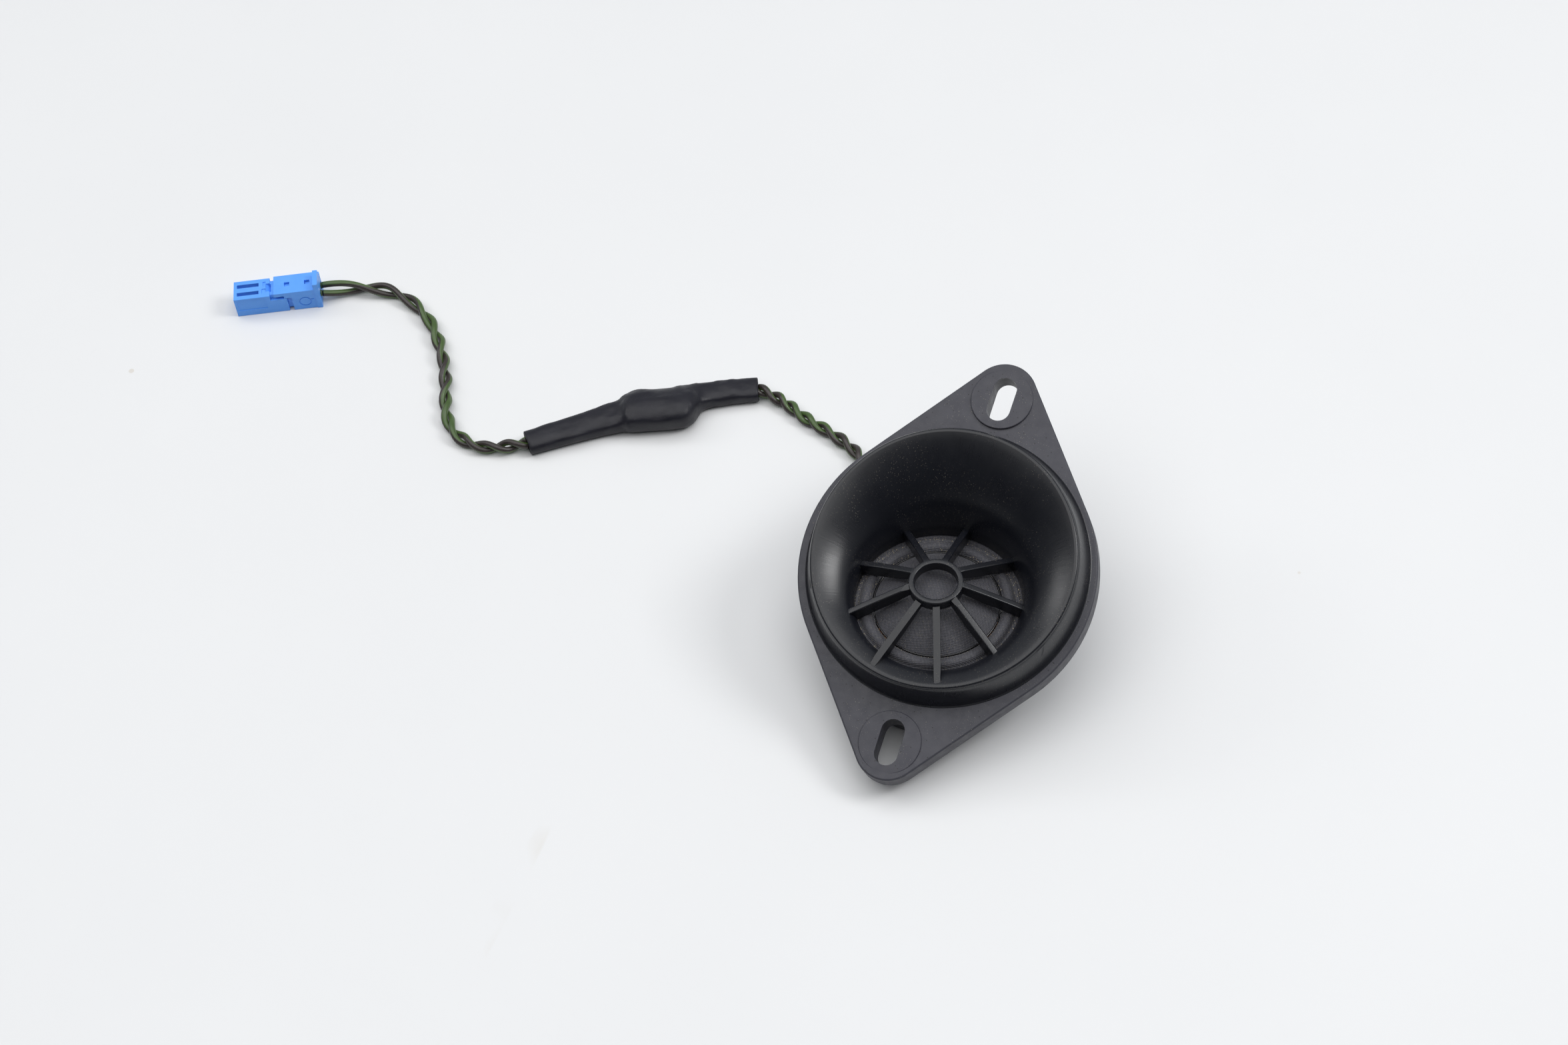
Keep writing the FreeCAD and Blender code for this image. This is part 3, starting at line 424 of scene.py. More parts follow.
def front_housing():
    """The moulding in one closed mesh, put together in the same order as the CAD part."""
    body = joined(flange_plate(), *[slot_pad(side, v) for side, v in slot_centres()], collar_solid())
    cut(body, underside_hollow(), cavity())
    for _, v in slot_centres():
        hole = slot_outline(v)
        cut(body, lofted("slot", [plane_ring(hole, -3 * FLANGE_T), plane_ring(hole, 2 * FLANGE_T)]))
    bowl = combine(horn_solid(SHELL, SHELL), disc("limit", BOWL_R, JOINT_Z, 40.0, 0, BOWL_Y), "INTERSECT")
    joined(body, bowl, disc("skirt", SKIRT_R, JOINT_Z, SKIRT_TOP, count=192))
    lugs = [(LUG_AT * math.cos(a), LUG_AT * math.sin(a)) for a in map(math.radians, LUG_ANGLES)]
    for x, y in lugs:
        below = [circle_ring(on_plane(0, 0, w), 80, TILT, 32) for w in (-60, RIM_H - LIP_W)]
        post = disc("post", LUG_R, JOINT_Z, POST_TOP, x, y, 48)
        joined(body, combine(post, lofted("below", below), "INTERSECT"))
    cut(body, horn_cut(), disc("throat", THROAT_R, LEDGE_Z - 1, THROAT_Z + 0.01, 0, THROAT_Y, 288),
        disc("recess", RECESS_R, -10, LEDGE_Z, count=192),
        disc("room", COVER_CLEAR_R, -10, JOINT_Z, count=192))
    for x, y in lugs:
        cut(body, disc("room", LUG_R + LUG_GAP, -10, JOINT_Z, x, y, 48),
            disc("pilot", PILOT_R, JOINT_Z - 1, JOINT_Z + PILOT_DEPTH, x, y, 32))
    joined(body, guard())
    body.name = "front_housing_shell"
    return crisp(body)


# ---- cloth ---------------------------------------------------------------------------------------

def weave(x, y):
    """Height of a plain weave at a place on the cloth, from about -1 to 1."""
    c, s = math.cos(WEAVE_TURN), math.sin(WEAVE_TURN)
    a = (x * c + y * s) * math.pi / WEAVE_PITCH
    b = (-x * s + y * c) * math.pi / WEAVE_PITCH
    return 0.55 * np.sin(a) * np.sin(b) + 0.45 * (np.abs(np.cos(b)) * 2 - 1)


def weave_lift(x, y):
    slow = 0.8 + 0.25 * np.sin(x * 0.9 + 1.3) * np.sin(y * 0.7 + 0.4)
    return WEAVE_HEIGHT * slow * weave(x, y)


def dome_cap():
    """A woven cap: a square grid mapped on a disc, front and back, closed at the edge."""
    size = DOME_GRID
    edge = np.linspace(-1, 1, size)
    gx, gy = np.meshgrid(edge, edge)
    px = gx * np.sqrt(1 - gy * gy / 2) * DOME_R
    py = gy * np.sqrt(1 - gx * gx / 2) * DOME_R
    radius = (DOME_R ** 2 + DOME_H ** 2) / (2 * DOME_H)
    far = np.minimum(px * px + py * py, DOME_R ** 2)
    height = np.sqrt(radius ** 2 - far) - (radius - DOME_H)
    fade = np.clip((DOME_R - np.sqrt(far)) / 0.6, 0, 1)
    front = DOME_Z + height + weave_lift(px, py) * fade
    back = DOME_Z + height - FABRIC * 0.6
    points = [(x, y + AXIS_Y, z) for x, y, z in zip(px.ravel(), py.ravel(), front.ravel())]
    points += [(x, y + AXIS_Y, z) for x, y, z in zip(px.ravel(), py.ravel(), back.ravel())]
    faces = []
    back_at = size * size
    for i in range(size - 1):
        for j in range(size - 1):
            a, b = i * size + j, (i + 1) * size + j
            faces.append((a, a + 1, b + 1, b))
            faces.append((back_at + a, back_at + b, back_at + b + 1, back_at + a + 1))
    last = size - 1
    rim = list(range(size))
    rim += [i * size + last for i in range(1, size)]
    rim += [last * size + j for j in range(last - 1, -1, -1)]
    rim += [i * size for i in range(last - 1, 0, -1)]
    for a, b in zip(rim, rim[1:] + rim[:1]):
        faces.append((a, back_at + a, back_at + b, b))
    return mesh_object("dome_cap", points, faces)


def surround_cloth():
    """Inner lip, half roll, trough, small step and flat rim, woven on top and plain beneath."""
    z = RIM_TOP_Z
    top = [(14.12, z + 0.62), (14.22, z + 0.86)]
    top += [(ROLL_MID_R - ROLL_HALF_W * math.cos(a), z + 0.34 + ROLL_RISE * math.sin(a))
            for a in np.linspace(0.5, math.pi - 0.25, 22)]
    top += [(16.85, z + 0.42), (16.98, z + 0.22), (17.15, z + 0.14), (17.4, z + 0.16), (17.55, z + 0.28),
            (17.7, z + 0.34), (17.85, z + 0.28), (18.0, z + 0.12), (18.15, z + 0.05)]
    top += [(r, z) for r in np.linspace(18.35, 20.15, 12)]
    count = 520
    rings = []
    for r, height in top:
        ring = circle_ring((0, 0, height), r, 0, count)
        on_top = weave_lift(ring[:, 0], ring[:, 1] - AXIS_Y)
        ring[:, 2] += on_top * (0.8 if r < STEP_END_R else 0.0)
        rings.append(ring)
    for r, height in reversed(top):
        rings.append(circle_ring((0, 0, max(height - FABRIC * 0.8, RIM_TOP_Z - FABRIC + 0.02)), r, 0, count))
    return lofted("surround_cloth", rings, closed=True)


def glue_bead():
    """A thin uneven bead of glue round the dome's edge."""
    count, rings = 360, []
    for i in range(count):
        a = i * 2 * math.pi / count
        swell = 1 + 0.22 * noise.noise(Vector((3 * math.cos(a), 3 * math.sin(a), 1.7)))
        swell += 0.10 * noise.noise(Vector((14 * math.cos(a), 14 * math.sin(a), 5.1)))
        ring = []
        for b in np.linspace(0, 2 * math.pi, 11)[:-1]:
            r = BEAD_R + BEAD_HALF_W * swell * math.cos(b)
            z = BEAD_Z + BEAD_HALF_H * swell * math.sin(b)
            ring.append((r * math.cos(a), r * math.sin(a) + AXIS_Y, z))
        rings.append(ring)
    return lofted("glue_bead", rings, closed=True)


# ---- lead ----------------------------------------------------------------------------------------

def route_line(name, route):
    """Points along the route's own smooth curve, in metres."""
    curve = bpy.data.curves.new(name, "CURVE")
    curve.dimensions, curve.resolution_u = "3D", 32
    spline = curve.splines.new("NURBS")
    spline.points.add(len(route) - 1)
    for point, place in zip(spline.points, route):
        point.co = (*(c * MM for c in place), 1.0)
    spline.order_u = 3
    spline.use_endpoint_u = True
    holder = link(bpy.data.objects.new(name, curve))
    bpy.context.view_layer.update()
    line = bpy.data.meshes.new_from_object(holder)
    points = np.array([v.co[:] for v in line.vertices])
    bpy.data.objects.remove(holder)
    bpy.data.meshes.remove(line)
    return points


def even_steps(points, step):
    """The line's points again at even steps, with the distance along it."""
    along = np.concatenate([[0], np.cumsum(np.linalg.norm(np.diff(points, axis=0), axis=1))])
    at = np.linspace(0, along[-1], max(int(along[-1] / step), 2))
    return np.stack([np.interp(at, along, points[:, i]) for i in range(3)], axis=1), at


def twisted_pair(name, line, half_turn, first_turn, spread):
    """Two wires wound about a line, left-handed.

    half_turn gives the length of half a turn at each distance along the line, spread how far each wire
    lies from the line, both in millimetres, and first_turn is the angle at the start.
    """
    centre, at = even_steps(line, TWIST_STEP * MM)
    length = at[-1]
    forward = np.gradient(centre, axis=0)
    forward /= np.linalg.norm(forward, axis=1)[:, None]
    side = np.cross(forward, (0, 0, 1))
    side /= np.linalg.norm(side, axis=1)[:, None]
    up = np.cross(side, forward)
    rate = np.array([math.pi / half_turn(s / MM, length / MM) for s in at])
    wound = first_turn - np.concatenate([[0], np.cumsum(rate[1:] * np.diff(at) / MM)])
    out = np.array([spread(s / MM, length / MM) for s in at]) * MM
    points, faces, uvs = [], [], []
    around = 18
    for strand in (0, 1):
        turn = wound + strand * math.pi
        core = centre + out[:, None] * (np.cos(turn)[:, None] * side + np.sin(turn)[:, None] * up)
        ahead = np.gradient(core, axis=0)
        ahead /= np.linalg.norm(ahead, axis=1)[:, None]
        right = np.cross(ahead, (0, 0, 1))
        right /= np.linalg.norm(right, axis=1)[:, None]
        over = np.cross(right, ahead)
        base = len(points)
        for i in range(len(core)):
            for j in range(around):
                b = j * 2 * math.pi / around
                p = core[i] + WIRE_R * MM * (math.cos(b) * right[i] + math.sin(b) * over[i])
                points.append(tuple(p / MM))
        for i in range(len(core) - 1):
            for j in range(around):
                k = (j + 1) % around
                a, b = base + i * around, base + (i + 1) * around
                faces.append((a + j, a + k, b + k, b + j))
                uvs.append([(j / around, at[i]), ((j + 1) / around, at[i]),
                            ((j + 1) / around, at[i + 1]), (j / around, at[i + 1])])
        for first in (base, base + (len(core) - 1) * around):
            faces.append(tuple(range(first, first + around)))
            uvs.append([(0.5, 0.0)] * around)
    mesh = raw_mesh(name, points, faces)
    layer = mesh.uv_layers.new(name="strand")
    corners = [corner for face in uvs for corner in face]
    for loop, corner in zip(layer.data, corners):
        loop.uv = corner
    return finished(mesh), length


def lead_a():
    line = route_line("lead_a_route", LEAD_A)

    def half_turn(s, length):
        return 4.9 + 0.5 * math.sin(s * 0.17)

    def spread(s, length):
        return WIRE_R + 0.03 + 0.10 * math.sin(s * 0.33) ** 2

    piece, length = twisted_pair("lead_wires_tweeter_side", line, half_turn, 0.2, spread)
    return piece, line, length


def lead_b():
    """Tight turns by the sleeve, slow and loose ones towards the plug, where the wires lie side by side."""
    line = route_line("lead_b_route", LEAD_B)

    def half_turn(s, length):
        from_plug = length - s
        return float(np.interp(from_plug, *zip(*HALF_TURNS)))

    def spread(s, length):
        from_plug = length - s
        near = max(1 - from_plug / LOOSE_FROM, 0)
        loose = 0.42 * near + 0.12 * math.sin(s * 0.29) ** 2 * (1 - near)
        open_end = max(1 - from_plug / OPEN_FROM, 0)
        return WIRE_R + 0.02 + loose + (PITCH / 2 - WIRE_R - 0.44) * open_end

    length = even_steps(line, TWIST_STEP * MM)[1][-1] / MM
    turns = sum(math.pi / half_turn(s, length) for s in np.arange(0.05, length, 0.1)) * 0.1
    piece, length = twisted_pair("lead_wires_plug_side", line, half_turn, turns, spread)
    return piece, line, length


# ---- sleeve --------------------------------------------------------------------------------------

def smooth_sections(steps):
    """The sleeve's sections joined by a smooth curve through all five values."""
    rows = np.array(SLEEVE)
    rows = np.vstack([2 * rows[0] - rows[1], rows, 2 * rows[-1] - rows[-2]])
    result = []
    for i in range(1, len(rows) - 2):
        p0, p1, p2, p3 = rows[i - 1:i + 3]
        for t in np.linspace(0, 1, steps, endpoint=False):
            result.append(0.5 * (2 * p1 + (p2 - p0) * t + (2 * p0 - 5 * p1 + 4 * p2 - p3) * t ** 2
                                 + (3 * p1 - p0 - 3 * p2 + p3) * t ** 3))
    result.append(rows[-2])
    return result


def shrink_sleeve():
    """Shrunk tube that clings to the capacitor: flat mouths, soft box in the middle, small wrinkles."""
    around, steps = 72, 14
    sections = smooth_sections(steps)
    span = len(sections) - 1
    outer, inner = [], []
    for i, (x, y, heading, width, height) in enumerate(sections):
        a = math.radians(heading)
        mouth = max(1 - min(i, span - i) / 10, 0)
        square = 2.7 - 0.3 * mouth
        for rings, shrink in ((outer, 0.0), (inner, SLEEVE_WALL)):
            ring = []
            for b in np.arange(around) * 2 * math.pi / around:
                c, s = math.cos(b), math.sin(b)
                across = (width / 2 - shrink) * math.copysign(abs(c) ** (2 / square), c)
                low, high = 0.1 + shrink, height - shrink
                z = (low + high) / 2 + (high - low) / 2 * math.copysign(abs(s) ** (2 / square), s)
                z -= max(across, 0) / width * (z - low) * FAR_SLOPE * max(width - 8, 0) / 3
                if not shrink:
                    place = Vector((x + across * math.sin(a), y - across * math.cos(a), z))
                    dent = 0.55 * noise.noise(place * 0.19) + 0.16 * noise.noise(place * 0.5)
                    dent += 0.05 * noise.noise(place * 1.4)
                    dent = max(dent * (1 - mouth), -0.10)
                    across *= 1 + dent * 0.16
                    z = max(z + dent * (0.9 if z > 1 else 0), 0.1)
                ring.append((x + across * math.sin(a), y - across * math.cos(a), z))
            rings.append(ring)
    lip = [[tuple(np.array(p) * 0.5 + np.array(q) * 0.5 + np.array(out))
            for p, q in zip(outer[k], inner[k])]
           for k, out in ((0, (0.12, 0.05, 0)), (-1, (-0.1, -0.08, 0)))]
    return lofted("shrink_sleeve", outer + [lip[1]] + inner[::-1] + [lip[0]], closed=True)


# ---- connector -----------------------------------------------------------------------------------

def in_conn(u, v, z):
    c, s = math.cos(CONN_HEADING), math.sin(CONN_HEADING)
    return (CONN_AT[0] + u * c - v * s, CONN_AT[1] + u * s + v * c, z)


def bar(u0, u1, v0, v1, z0, z1):
    """A square bar in the connector's frame."""
    corners = ((v0, z0), (v1, z0), (v1, z1), (v0, z1))
    return lofted("bar", [[in_conn(u, v, z) for v, z in corners] for u in (u0, u1)])


def peg(centre, radius, v0, v1, count=40):
    """A round peg across the connector, about a line at (u, z)."""
    u0, z0 = centre
    angles = np.arange(count) * 2 * math.pi / count
    return lofted("peg", [[in_conn(u0 + radius * math.cos(a), v, z0 + radius * math.sin(a)) for a in angles]
                          for v in (v0, v1)])


def side_bar(u0, u1, side, thickness, z0, z1):
    outer, inner = side * CONN_W / 2, side * (CONN_W / 2 - thickness)
    return bar(u0, u1, min(outer, inner), max(outer, inner), z0, z1)


def rounded(piece, width):
    """Moulded edges: a small bevel, then even normals."""
    bevel = piece.modifiers.new("round edges", "BEVEL")
    bevel.width, bevel.segments, bevel.limit_method = width * MM, 2, "ANGLE"
    bevel.angle_limit = BEVEL_FROM
    piece.modifiers.new("flat faces", "WEIGHTED_NORMAL")
    return piece


def tidy_mesh(piece, name):
    shape = bmesh.new()
    shape.from_mesh(piece.data)
    bmesh.ops.remove_doubles(shape, verts=shape.verts, dist=PLUG_MERGE)
    bmesh.ops.dissolve_limit(shape, angle_limit=math.radians(0.5), verts=shape.verts, edges=shape.edges)
    shape.to_mesh(piece.data)
    shape.free()
    piece.data.shade_smooth()
    piece.name = name
    return piece


def plug_body():
    """Front block with two ways, top slits, side ledges, blank pads and a notch; slimmer back half."""
    half = CONN_W / 2
    block = bar(0, BLOCK_L, -half, half, CONN_Z0, CONN_H)
    start, rails_end = BLOCK_L - 0.5, LOCK_SKIRT_FROM - LOCK_TRAVEL - 0.3
    body = bar(start, BODY_L, -BODY_W / 2, BODY_W / 2, BODY_BOTTOM, LOCK_TOP - LOCK_WALL - LOCK_GAP)
    joined(block, body, bar(start, rails_end, -half + 0.01, half - 0.01, CONN_Z0 + 0.01, FLOOR_T))
    for side in (-1, 1):
        joined(block, side_bar(start, rails_end - 0.01, side, LIP_T + LOCK_GAP, CONN_Z0 + 0.02, RAIL_TOP))
        cut(block, side_bar(0.7, BLOCK_L - 1.1, side * 1.02, LEDGE_IN + 0.06, LEDGE_TOP, CONN_H - 0.5))
    for v in (-PITCH / 2, PITCH / 2):
        way = CAVITY / 2
        cut(block, bar(-1, BODY_L + 1, v - way, v + way, WAY_Z - way, WAY_Z + way),
            bar(*SLIT_U, v - SLIT_HALF, v + SLIT_HALF, WAY_Z, CONN_H + 1))
    for u, v0, v1 in ((6.9, -1.9, -0.3), (7.2, 0.4, 2.0)):
        cut(block, bar(u, 7.9, v0, v1, CONN_H - PAD_DEPTH, CONN_H + 1))
    ahead, behind = BLOCK_L + NOTCH_U[0], BLOCK_L + NOTCH_U[1]
    wedge = ((ahead, 0), (behind, 0), (behind, NOTCH_DEPTH))
    notch = [[in_conn(u, v, CONN_H + 0.1 - drop) for u, drop in wedge] for v in (-NOTCH_HALF, NOTCH_HALF)]
    cut(block, lofted("notch", notch))
    return rounded(tidy_mesh(block, "plug_body"), BODY_ROUND)


def plug_lock():
    """Sliding rear cover: roof with stepped side lips, skirt with a plain round mark, upright end plate."""
    half, inner = CONN_W / 2, BODY_W / 2 + LOCK_GAP
    roof = LOCK_TOP - LOCK_WALL
    cover = bar(LOCK_SKIRT_FROM, LOCK_END, -half, half, CONN_Z0, LOCK_TOP)
    cut(cover, bar(0, 30, -inner, inner, BODY_BOTTOM - 0.05 - LOCK_GAP, roof))
    joined(cover, bar(LOCK_FROM, LOCK_END + 0.2, -half + 0.01, half - 0.01, roof, LOCK_TOP - 0.01))
    for side in (-1, 1):
        step = LOCK_SKIRT_FROM - 1.7
        high = side_bar(LOCK_FROM + 0.01, step, side * 0.99, LIP_T, RAIL_TOP + 0.9, LOCK_TOP - 0.02)
        low = side_bar(step - 0.1, LOCK_END, side * 0.98, LIP_T, RAIL_TOP + LOCK_GAP, LOCK_TOP - 0.03)
        joined(cover, high, low)
        face = side * half
        out, deep = face + side, face - side * MARK_DEPTH
        mark = peg(MARK_AT, MARK_R, min(out, deep), max(out, deep))
        cut(mark, peg(MARK_AT, MARK_IN_R, -9, 9))
        cut(cover, mark, side_bar(18.6, 19.5, side * 1.05, 0.3, 3.1, 3.5))
    joined(cover, bar(LOCK_END, CONN_L, -half - 0.2, half + 0.2, CONN_Z0, LOCK_TOP - 0.3),
           bar(LOCK_END + 0.01, CONN_L - 0.01, -half - 0.2, half * 0.55, LOCK_TOP - 0.5, END_TOP))
    for v in (-PITCH / 2, PITCH / 2):
        way = CAVITY / 2
        cut(cover, bar(LOCK_END - 1, CONN_L + 1, v - way, v + way, WAY_Z - way, WAY_Z + way))
    for u in WINDOWS_U:
        reach = WINDOW_HALF
        cut(cover, bar(u - reach, u + reach, -reach, reach, roof - 0.05, LOCK_TOP + 1))
    return rounded(tidy_mesh(cover, "plug_lock"), LOCK_ROUND)


# ---- node materials ------------------------------------------------------------------------------

class Look:
    """A node material in the making: one principled shader and short calls for what feeds it."""

    def __init__(self, name, **fixed):
        self.material = bpy.data.materials.new(name)
        self.material.use_nodes = True
        self.tree = self.material.node_tree
        self.shader = self.tree.nodes["Principled BSDF"]
        for socket, value in fixed.items():
            self.shader.inputs[socket.replace("_", " ")].default_value = value
        self.place = self.tree.nodes.new("ShaderNodeTexCoord").outputs["Object"]

    def node(self, kind, **inputs):
        made = self.tree.nodes.new("ShaderNode" + kind)
        for socket, value in inputs.items():
            self.feed(made.inputs[socket.replace("_", " ")], value)
        return made

    def feed(self, socket, value):
        if isinstance(value, bpy.types.NodeSocket):
            self.tree.links.new(value, socket)
        else:
            socket.default_value = value

    def set(self, socket, value):
        self.feed(self.shader.inputs[socket], value)

    def stretched(self, sx, sy, sz, turn=0.0):
        moved = self.node("Mapping", Vector=self.place)
        moved.inputs["Scale"].default_value = (sx, sy, sz)
        moved.inputs["Rotation"].default_value = (0, 0, turn)
        return moved.outputs["Vector"]

    def noise(self, per_mm, detail=3.0, vector=None, rough=0.55):
        made = self.node("TexNoise", Vector=vector or self.place, Scale=per_mm / MM, Detail=detail,
                         Roughness=rough)
        return made.outputs["Fac"]

    def spots(self, per_mm, vector=None):
        """Distance to scattered points, for specks."""
        made = self.node("TexVoronoi", Vector=vector or self.place, Scale=per_mm / MM)
        return made.outputs["Distance"]

    def ramp(self, value, low, high, a=0.0, b=1.0):
        made = self.node("MapRange", Value=value)
        made.inputs["From Min"].default_value = low
        made.inputs["From Max"].default_value = high
        made.inputs["To Min"].default_value = a
        made.inputs["To Max"].default_value = b
        return made.outputs["Result"]

    def math(self, how, a, b=0.5):
        made = self.tree.nodes.new("ShaderNodeMath")
        made.operation = how
        self.feed(made.inputs[0], a)
        self.feed(made.inputs[1], b)
        return made.outputs[0]

    def mix(self, factor, a, b):
        made = self.tree.nodes.new("ShaderNodeMix")
        made.data_type = "RGBA"
        self.feed(made.inputs["Factor"], factor)
        for socket, value in ((made.inputs[6], a), (made.inputs[7], b)):
            self.feed(socket, value if isinstance(value, bpy.types.NodeSocket) else (*value, 1.0))
        return made.outputs[2]

    def bump(self, *layers):
        """Layers of (height, millimetres), each on top of the one before."""
        normal = None
        for height, millimetres in layers:
            made = self.node("Bump", Height=height, Distance=millimetres * MM, Strength=1.0)
            if normal:
                self.feed(made.inputs["Normal"], normal)
            normal = made.outputs["Normal"]
        self.set("Normal", normal)


def dust(look, colour, amount):
    """Pale specks of a few sizes that gather in patches."""
    patches = look.ramp(look.noise(0.12, 2), 0.40, 0.70)
    fine = look.ramp(look.spots(2.3), 0.16, 0.10)
    coarse = look.ramp(look.spots(0.9), 0.09, 0.06)
    fine, coarse = (look.math("MULTIPLY", size, patches) for size in (fine, coarse))
    specks = look.math("MULTIPLY", look.math("MAXIMUM", fine, coarse), amount)
    return look.mix(specks, colour, (0.42, 0.38, 0.30)), specks


def moulded_satin():
    """The horn's smoother face: fine streaks that run up the flare, dust and soft rubbed patches."""
    look = Look("moulded_satin", IOR=1.5)
    parts = look.tree.nodes.new("ShaderNodeSeparateXYZ")
    look.feed(parts.inputs[0], look.place)
    centre_y = AXIS_Y + on_plane(0, RIM_V, RIM_H)[1]
    from_y = look.math("SUBTRACT", parts.outputs[1], centre_y * MM)
    angle = look.math("ARCTAN2", from_y, parts.outputs[0])
    across, along = look.math("MULTIPLY", angle, 24 * MM), look.math("MULTIPLY", parts.outputs[2], 0.06)
    ray = look.node("CombineXYZ", X=across, Y=along)
    streaks = look.noise(3.2, 2, ray.outputs[0])
    colour = look.mix(look.noise(0.12, 4), (0.0045, 0.005, 0.0075), (0.008, 0.009, 0.013))
    colour, specks = dust(look, colour, 0.42)
    look.set("Base Color", colour)
    rubbed = look.ramp(look.noise(0.2, 2), 0.3, 0.7, 0.23, 0.28)
    look.set("Roughness", look.math("ADD", rubbed, look.math("MULTIPLY", streaks, 0.08)))
    look.bump((streaks, 0.008), (look.noise(5.0, 2), 0.004), (specks, 0.010))
    return look.material


def grained_plastic():
    """The flange's duller face: cloudy grain, small pits and dust."""
    look = Look("grained_plastic", IOR=1.5)
    cloud = look.noise(0.09, 4)
    colour = look.mix(cloud, (0.028, 0.028, 0.037), (0.044, 0.044, 0.058))
    pits = look.ramp(look.spots(0.75), 0.12, 0.07)
    colour = look.mix(pits, colour, (0.010, 0.010, 0.011))
    colour, specks = dust(look, colour, 0.5)
    look.set("Base Color", colour)
    look.set("Roughness", look.ramp(look.noise(0.5, 3), 0.3, 0.7, 0.42, 0.56))
    look.bump((look.noise(7.0, 2), 0.012), (pits, -0.02), (specks, 0.03))
    return look.material


def plain_black(name, rough, colour=(0.022, 0.022, 0.026)):
    look = Look(name, IOR=1.5)
    shade = look.mix(look.noise(0.15, 4), colour, tuple(c * 1.6 for c in colour))
    look.set("Base Color", shade)
    look.set("Roughness", look.ramp(look.noise(0.8, 3), 0.3, 0.7, rough - 0.06, rough + 0.08))
    look.bump((look.noise(5.0, 2), 0.01),)
    return look.material


def band(look, radius, reach):
    """1 on a ring about the driver axis, falling to 0 at reach (mm) to each side."""
    flat = look.node("VectorMath", Vector=look.place)
    flat.operation = "MULTIPLY_ADD"
    flat.inputs[1].default_value = (1, 1, 0)
    flat.inputs[2].default_value = (0, -AXIS_Y * MM, 0)
    far = look.tree.nodes.new("ShaderNodeVectorMath")
    far.operation = "LENGTH"
    look.feed(far.inputs[0], flat.outputs["Vector"])
    off = look.math("ABSOLUTE", look.math("SUBTRACT", far.outputs["Value"], radius * MM))
    return look.ramp(off, reach * MM, 0.4 * reach * MM)


def woven_cloth():
    look = Look("woven_cloth", IOR=1.45)
    look.shader.inputs["Sheen Weight"].default_value = 0.12
    look.shader.inputs["Sheen Roughness"].default_value = 0.5
    turned = look.stretched(1, 1, 1, -WEAVE_TURN)
    parts = look.tree.nodes.new("ShaderNodeSeparateXYZ")
    look.feed(parts.inputs[0], turned)
    threads = []
    for axis in (0, 1):
        turns = 2 * math.pi / (WEAVE_PITCH / 2 * MM)
        wave = look.math("SINE", look.math("MULTIPLY", parts.outputs[axis], turns))
        threads.append(look.ramp(wave, -1, 1))
    fine = look.math("MULTIPLY", threads[0], threads[1])
    colour = look.mix(fine, (0.024, 0.024, 0.030), (0.125, 0.125, 0.145))
    patches = look.ramp(look.noise(0.25, 3), 0.35, 0.62, 0.15, 0.75)
    grooves = look.math("MAXIMUM", band(look, 14.3, 0.5), band(look, 17.7, 1.2))
    patches = look.math("MAXIMUM", patches, grooves)
    small = look.ramp(look.spots(3.1), 0.20, 0.12)
    large = look.math("MULTIPLY", look.ramp(look.spots(1.7), 0.24, 0.17), grooves)
    specks = look.math("MULTIPLY", look.math("MAXIMUM", small, large), patches)
    colour = look.mix(look.math("MULTIPLY", specks, 0.8), colour, (0.40, 0.34, 0.23))
    look.set("Base Color", colour)
    look.set("Roughness", look.ramp(look.noise(1.5, 2), 0.3, 0.7, 0.55, 0.75))
    look.bump((fine, 0.03), (look.noise(9, 2), 0.01), (specks, 0.04))
    return look.material


def striped_wire():
    """Green insulation with one dark stripe that follows the wire."""
    look = Look("striped_wire", IOR=1.5)
    uv = look.node("UVMap")
    uv.uv_map = "strand"
    parts = look.tree.nodes.new("ShaderNodeSeparateXYZ")
    look.feed(parts.inputs[0], uv.outputs["UV"])
    swing = look.math("SINE", look.math("MULTIPLY", parts.outputs[1], 2 * math.pi / (31 * MM)))
    drift = look.math("MULTIPLY", swing, 0.13)
    around = look.math("FRACT", look.math("ADD", parts.outputs[0], drift))
    away = look.math("ABSOLUTE", look.math("SUBTRACT", around, 0.42))
    wobble = look.math("MULTIPLY", look.noise(1.2, 2), 0.05)
    stripe = look.ramp(look.math("ADD", away, wobble), 0.190, 0.165)
    green = look.mix(look.noise(0.35, 3), (0.042, 0.082, 0.018), (0.070, 0.118, 0.034))
    dark = look.mix(look.noise(2.5, 3), (0.016, 0.012, 0.012), (0.050, 0.040, 0.036))
    look.set("Base Color", look.mix(stripe, green, dark))
    look.set("Roughness", look.ramp(look.noise(1.0, 3), 0.3, 0.7, 0.30, 0.44))
    look.bump((look.noise(3.0, 3), 0.015),)
    return look.material


def shrink_tube():
    look = Look("shrink_tube", IOR=1.40)
    shade = look.mix(look.noise(0.2, 4), (0.007, 0.007, 0.011), (0.014, 0.014, 0.021))
    look.set("Base Color", shade)
    look.set("Roughness", look.ramp(look.noise(0.35, 4), 0.3, 0.7, 0.34, 0.50))
    look.bump((look.noise(0.5, 3), 0.10), (look.noise(4.0, 3), 0.012))
    return look.material


def blue_plastic():
    look = Look("blue_plastic", IOR=1.5)
    shade = look.mix(look.noise(0.4, 3), (0.085, 0.32, 0.88), (0.11, 0.37, 0.93))
    look.set("Base Color", shade)
    look.set("Roughness", look.ramp(look.noise(1.2, 2), 0.3, 0.7, 0.34, 0.46))
    look.shader.inputs["Subsurface Weight"].default_value = 0.06
    look.shader.inputs["Subsurface Radius"].default_value = (0.0006, 0.0009, 0.0015)
    look.bump((look.noise(6.0, 2), 0.006),)
    return look.material


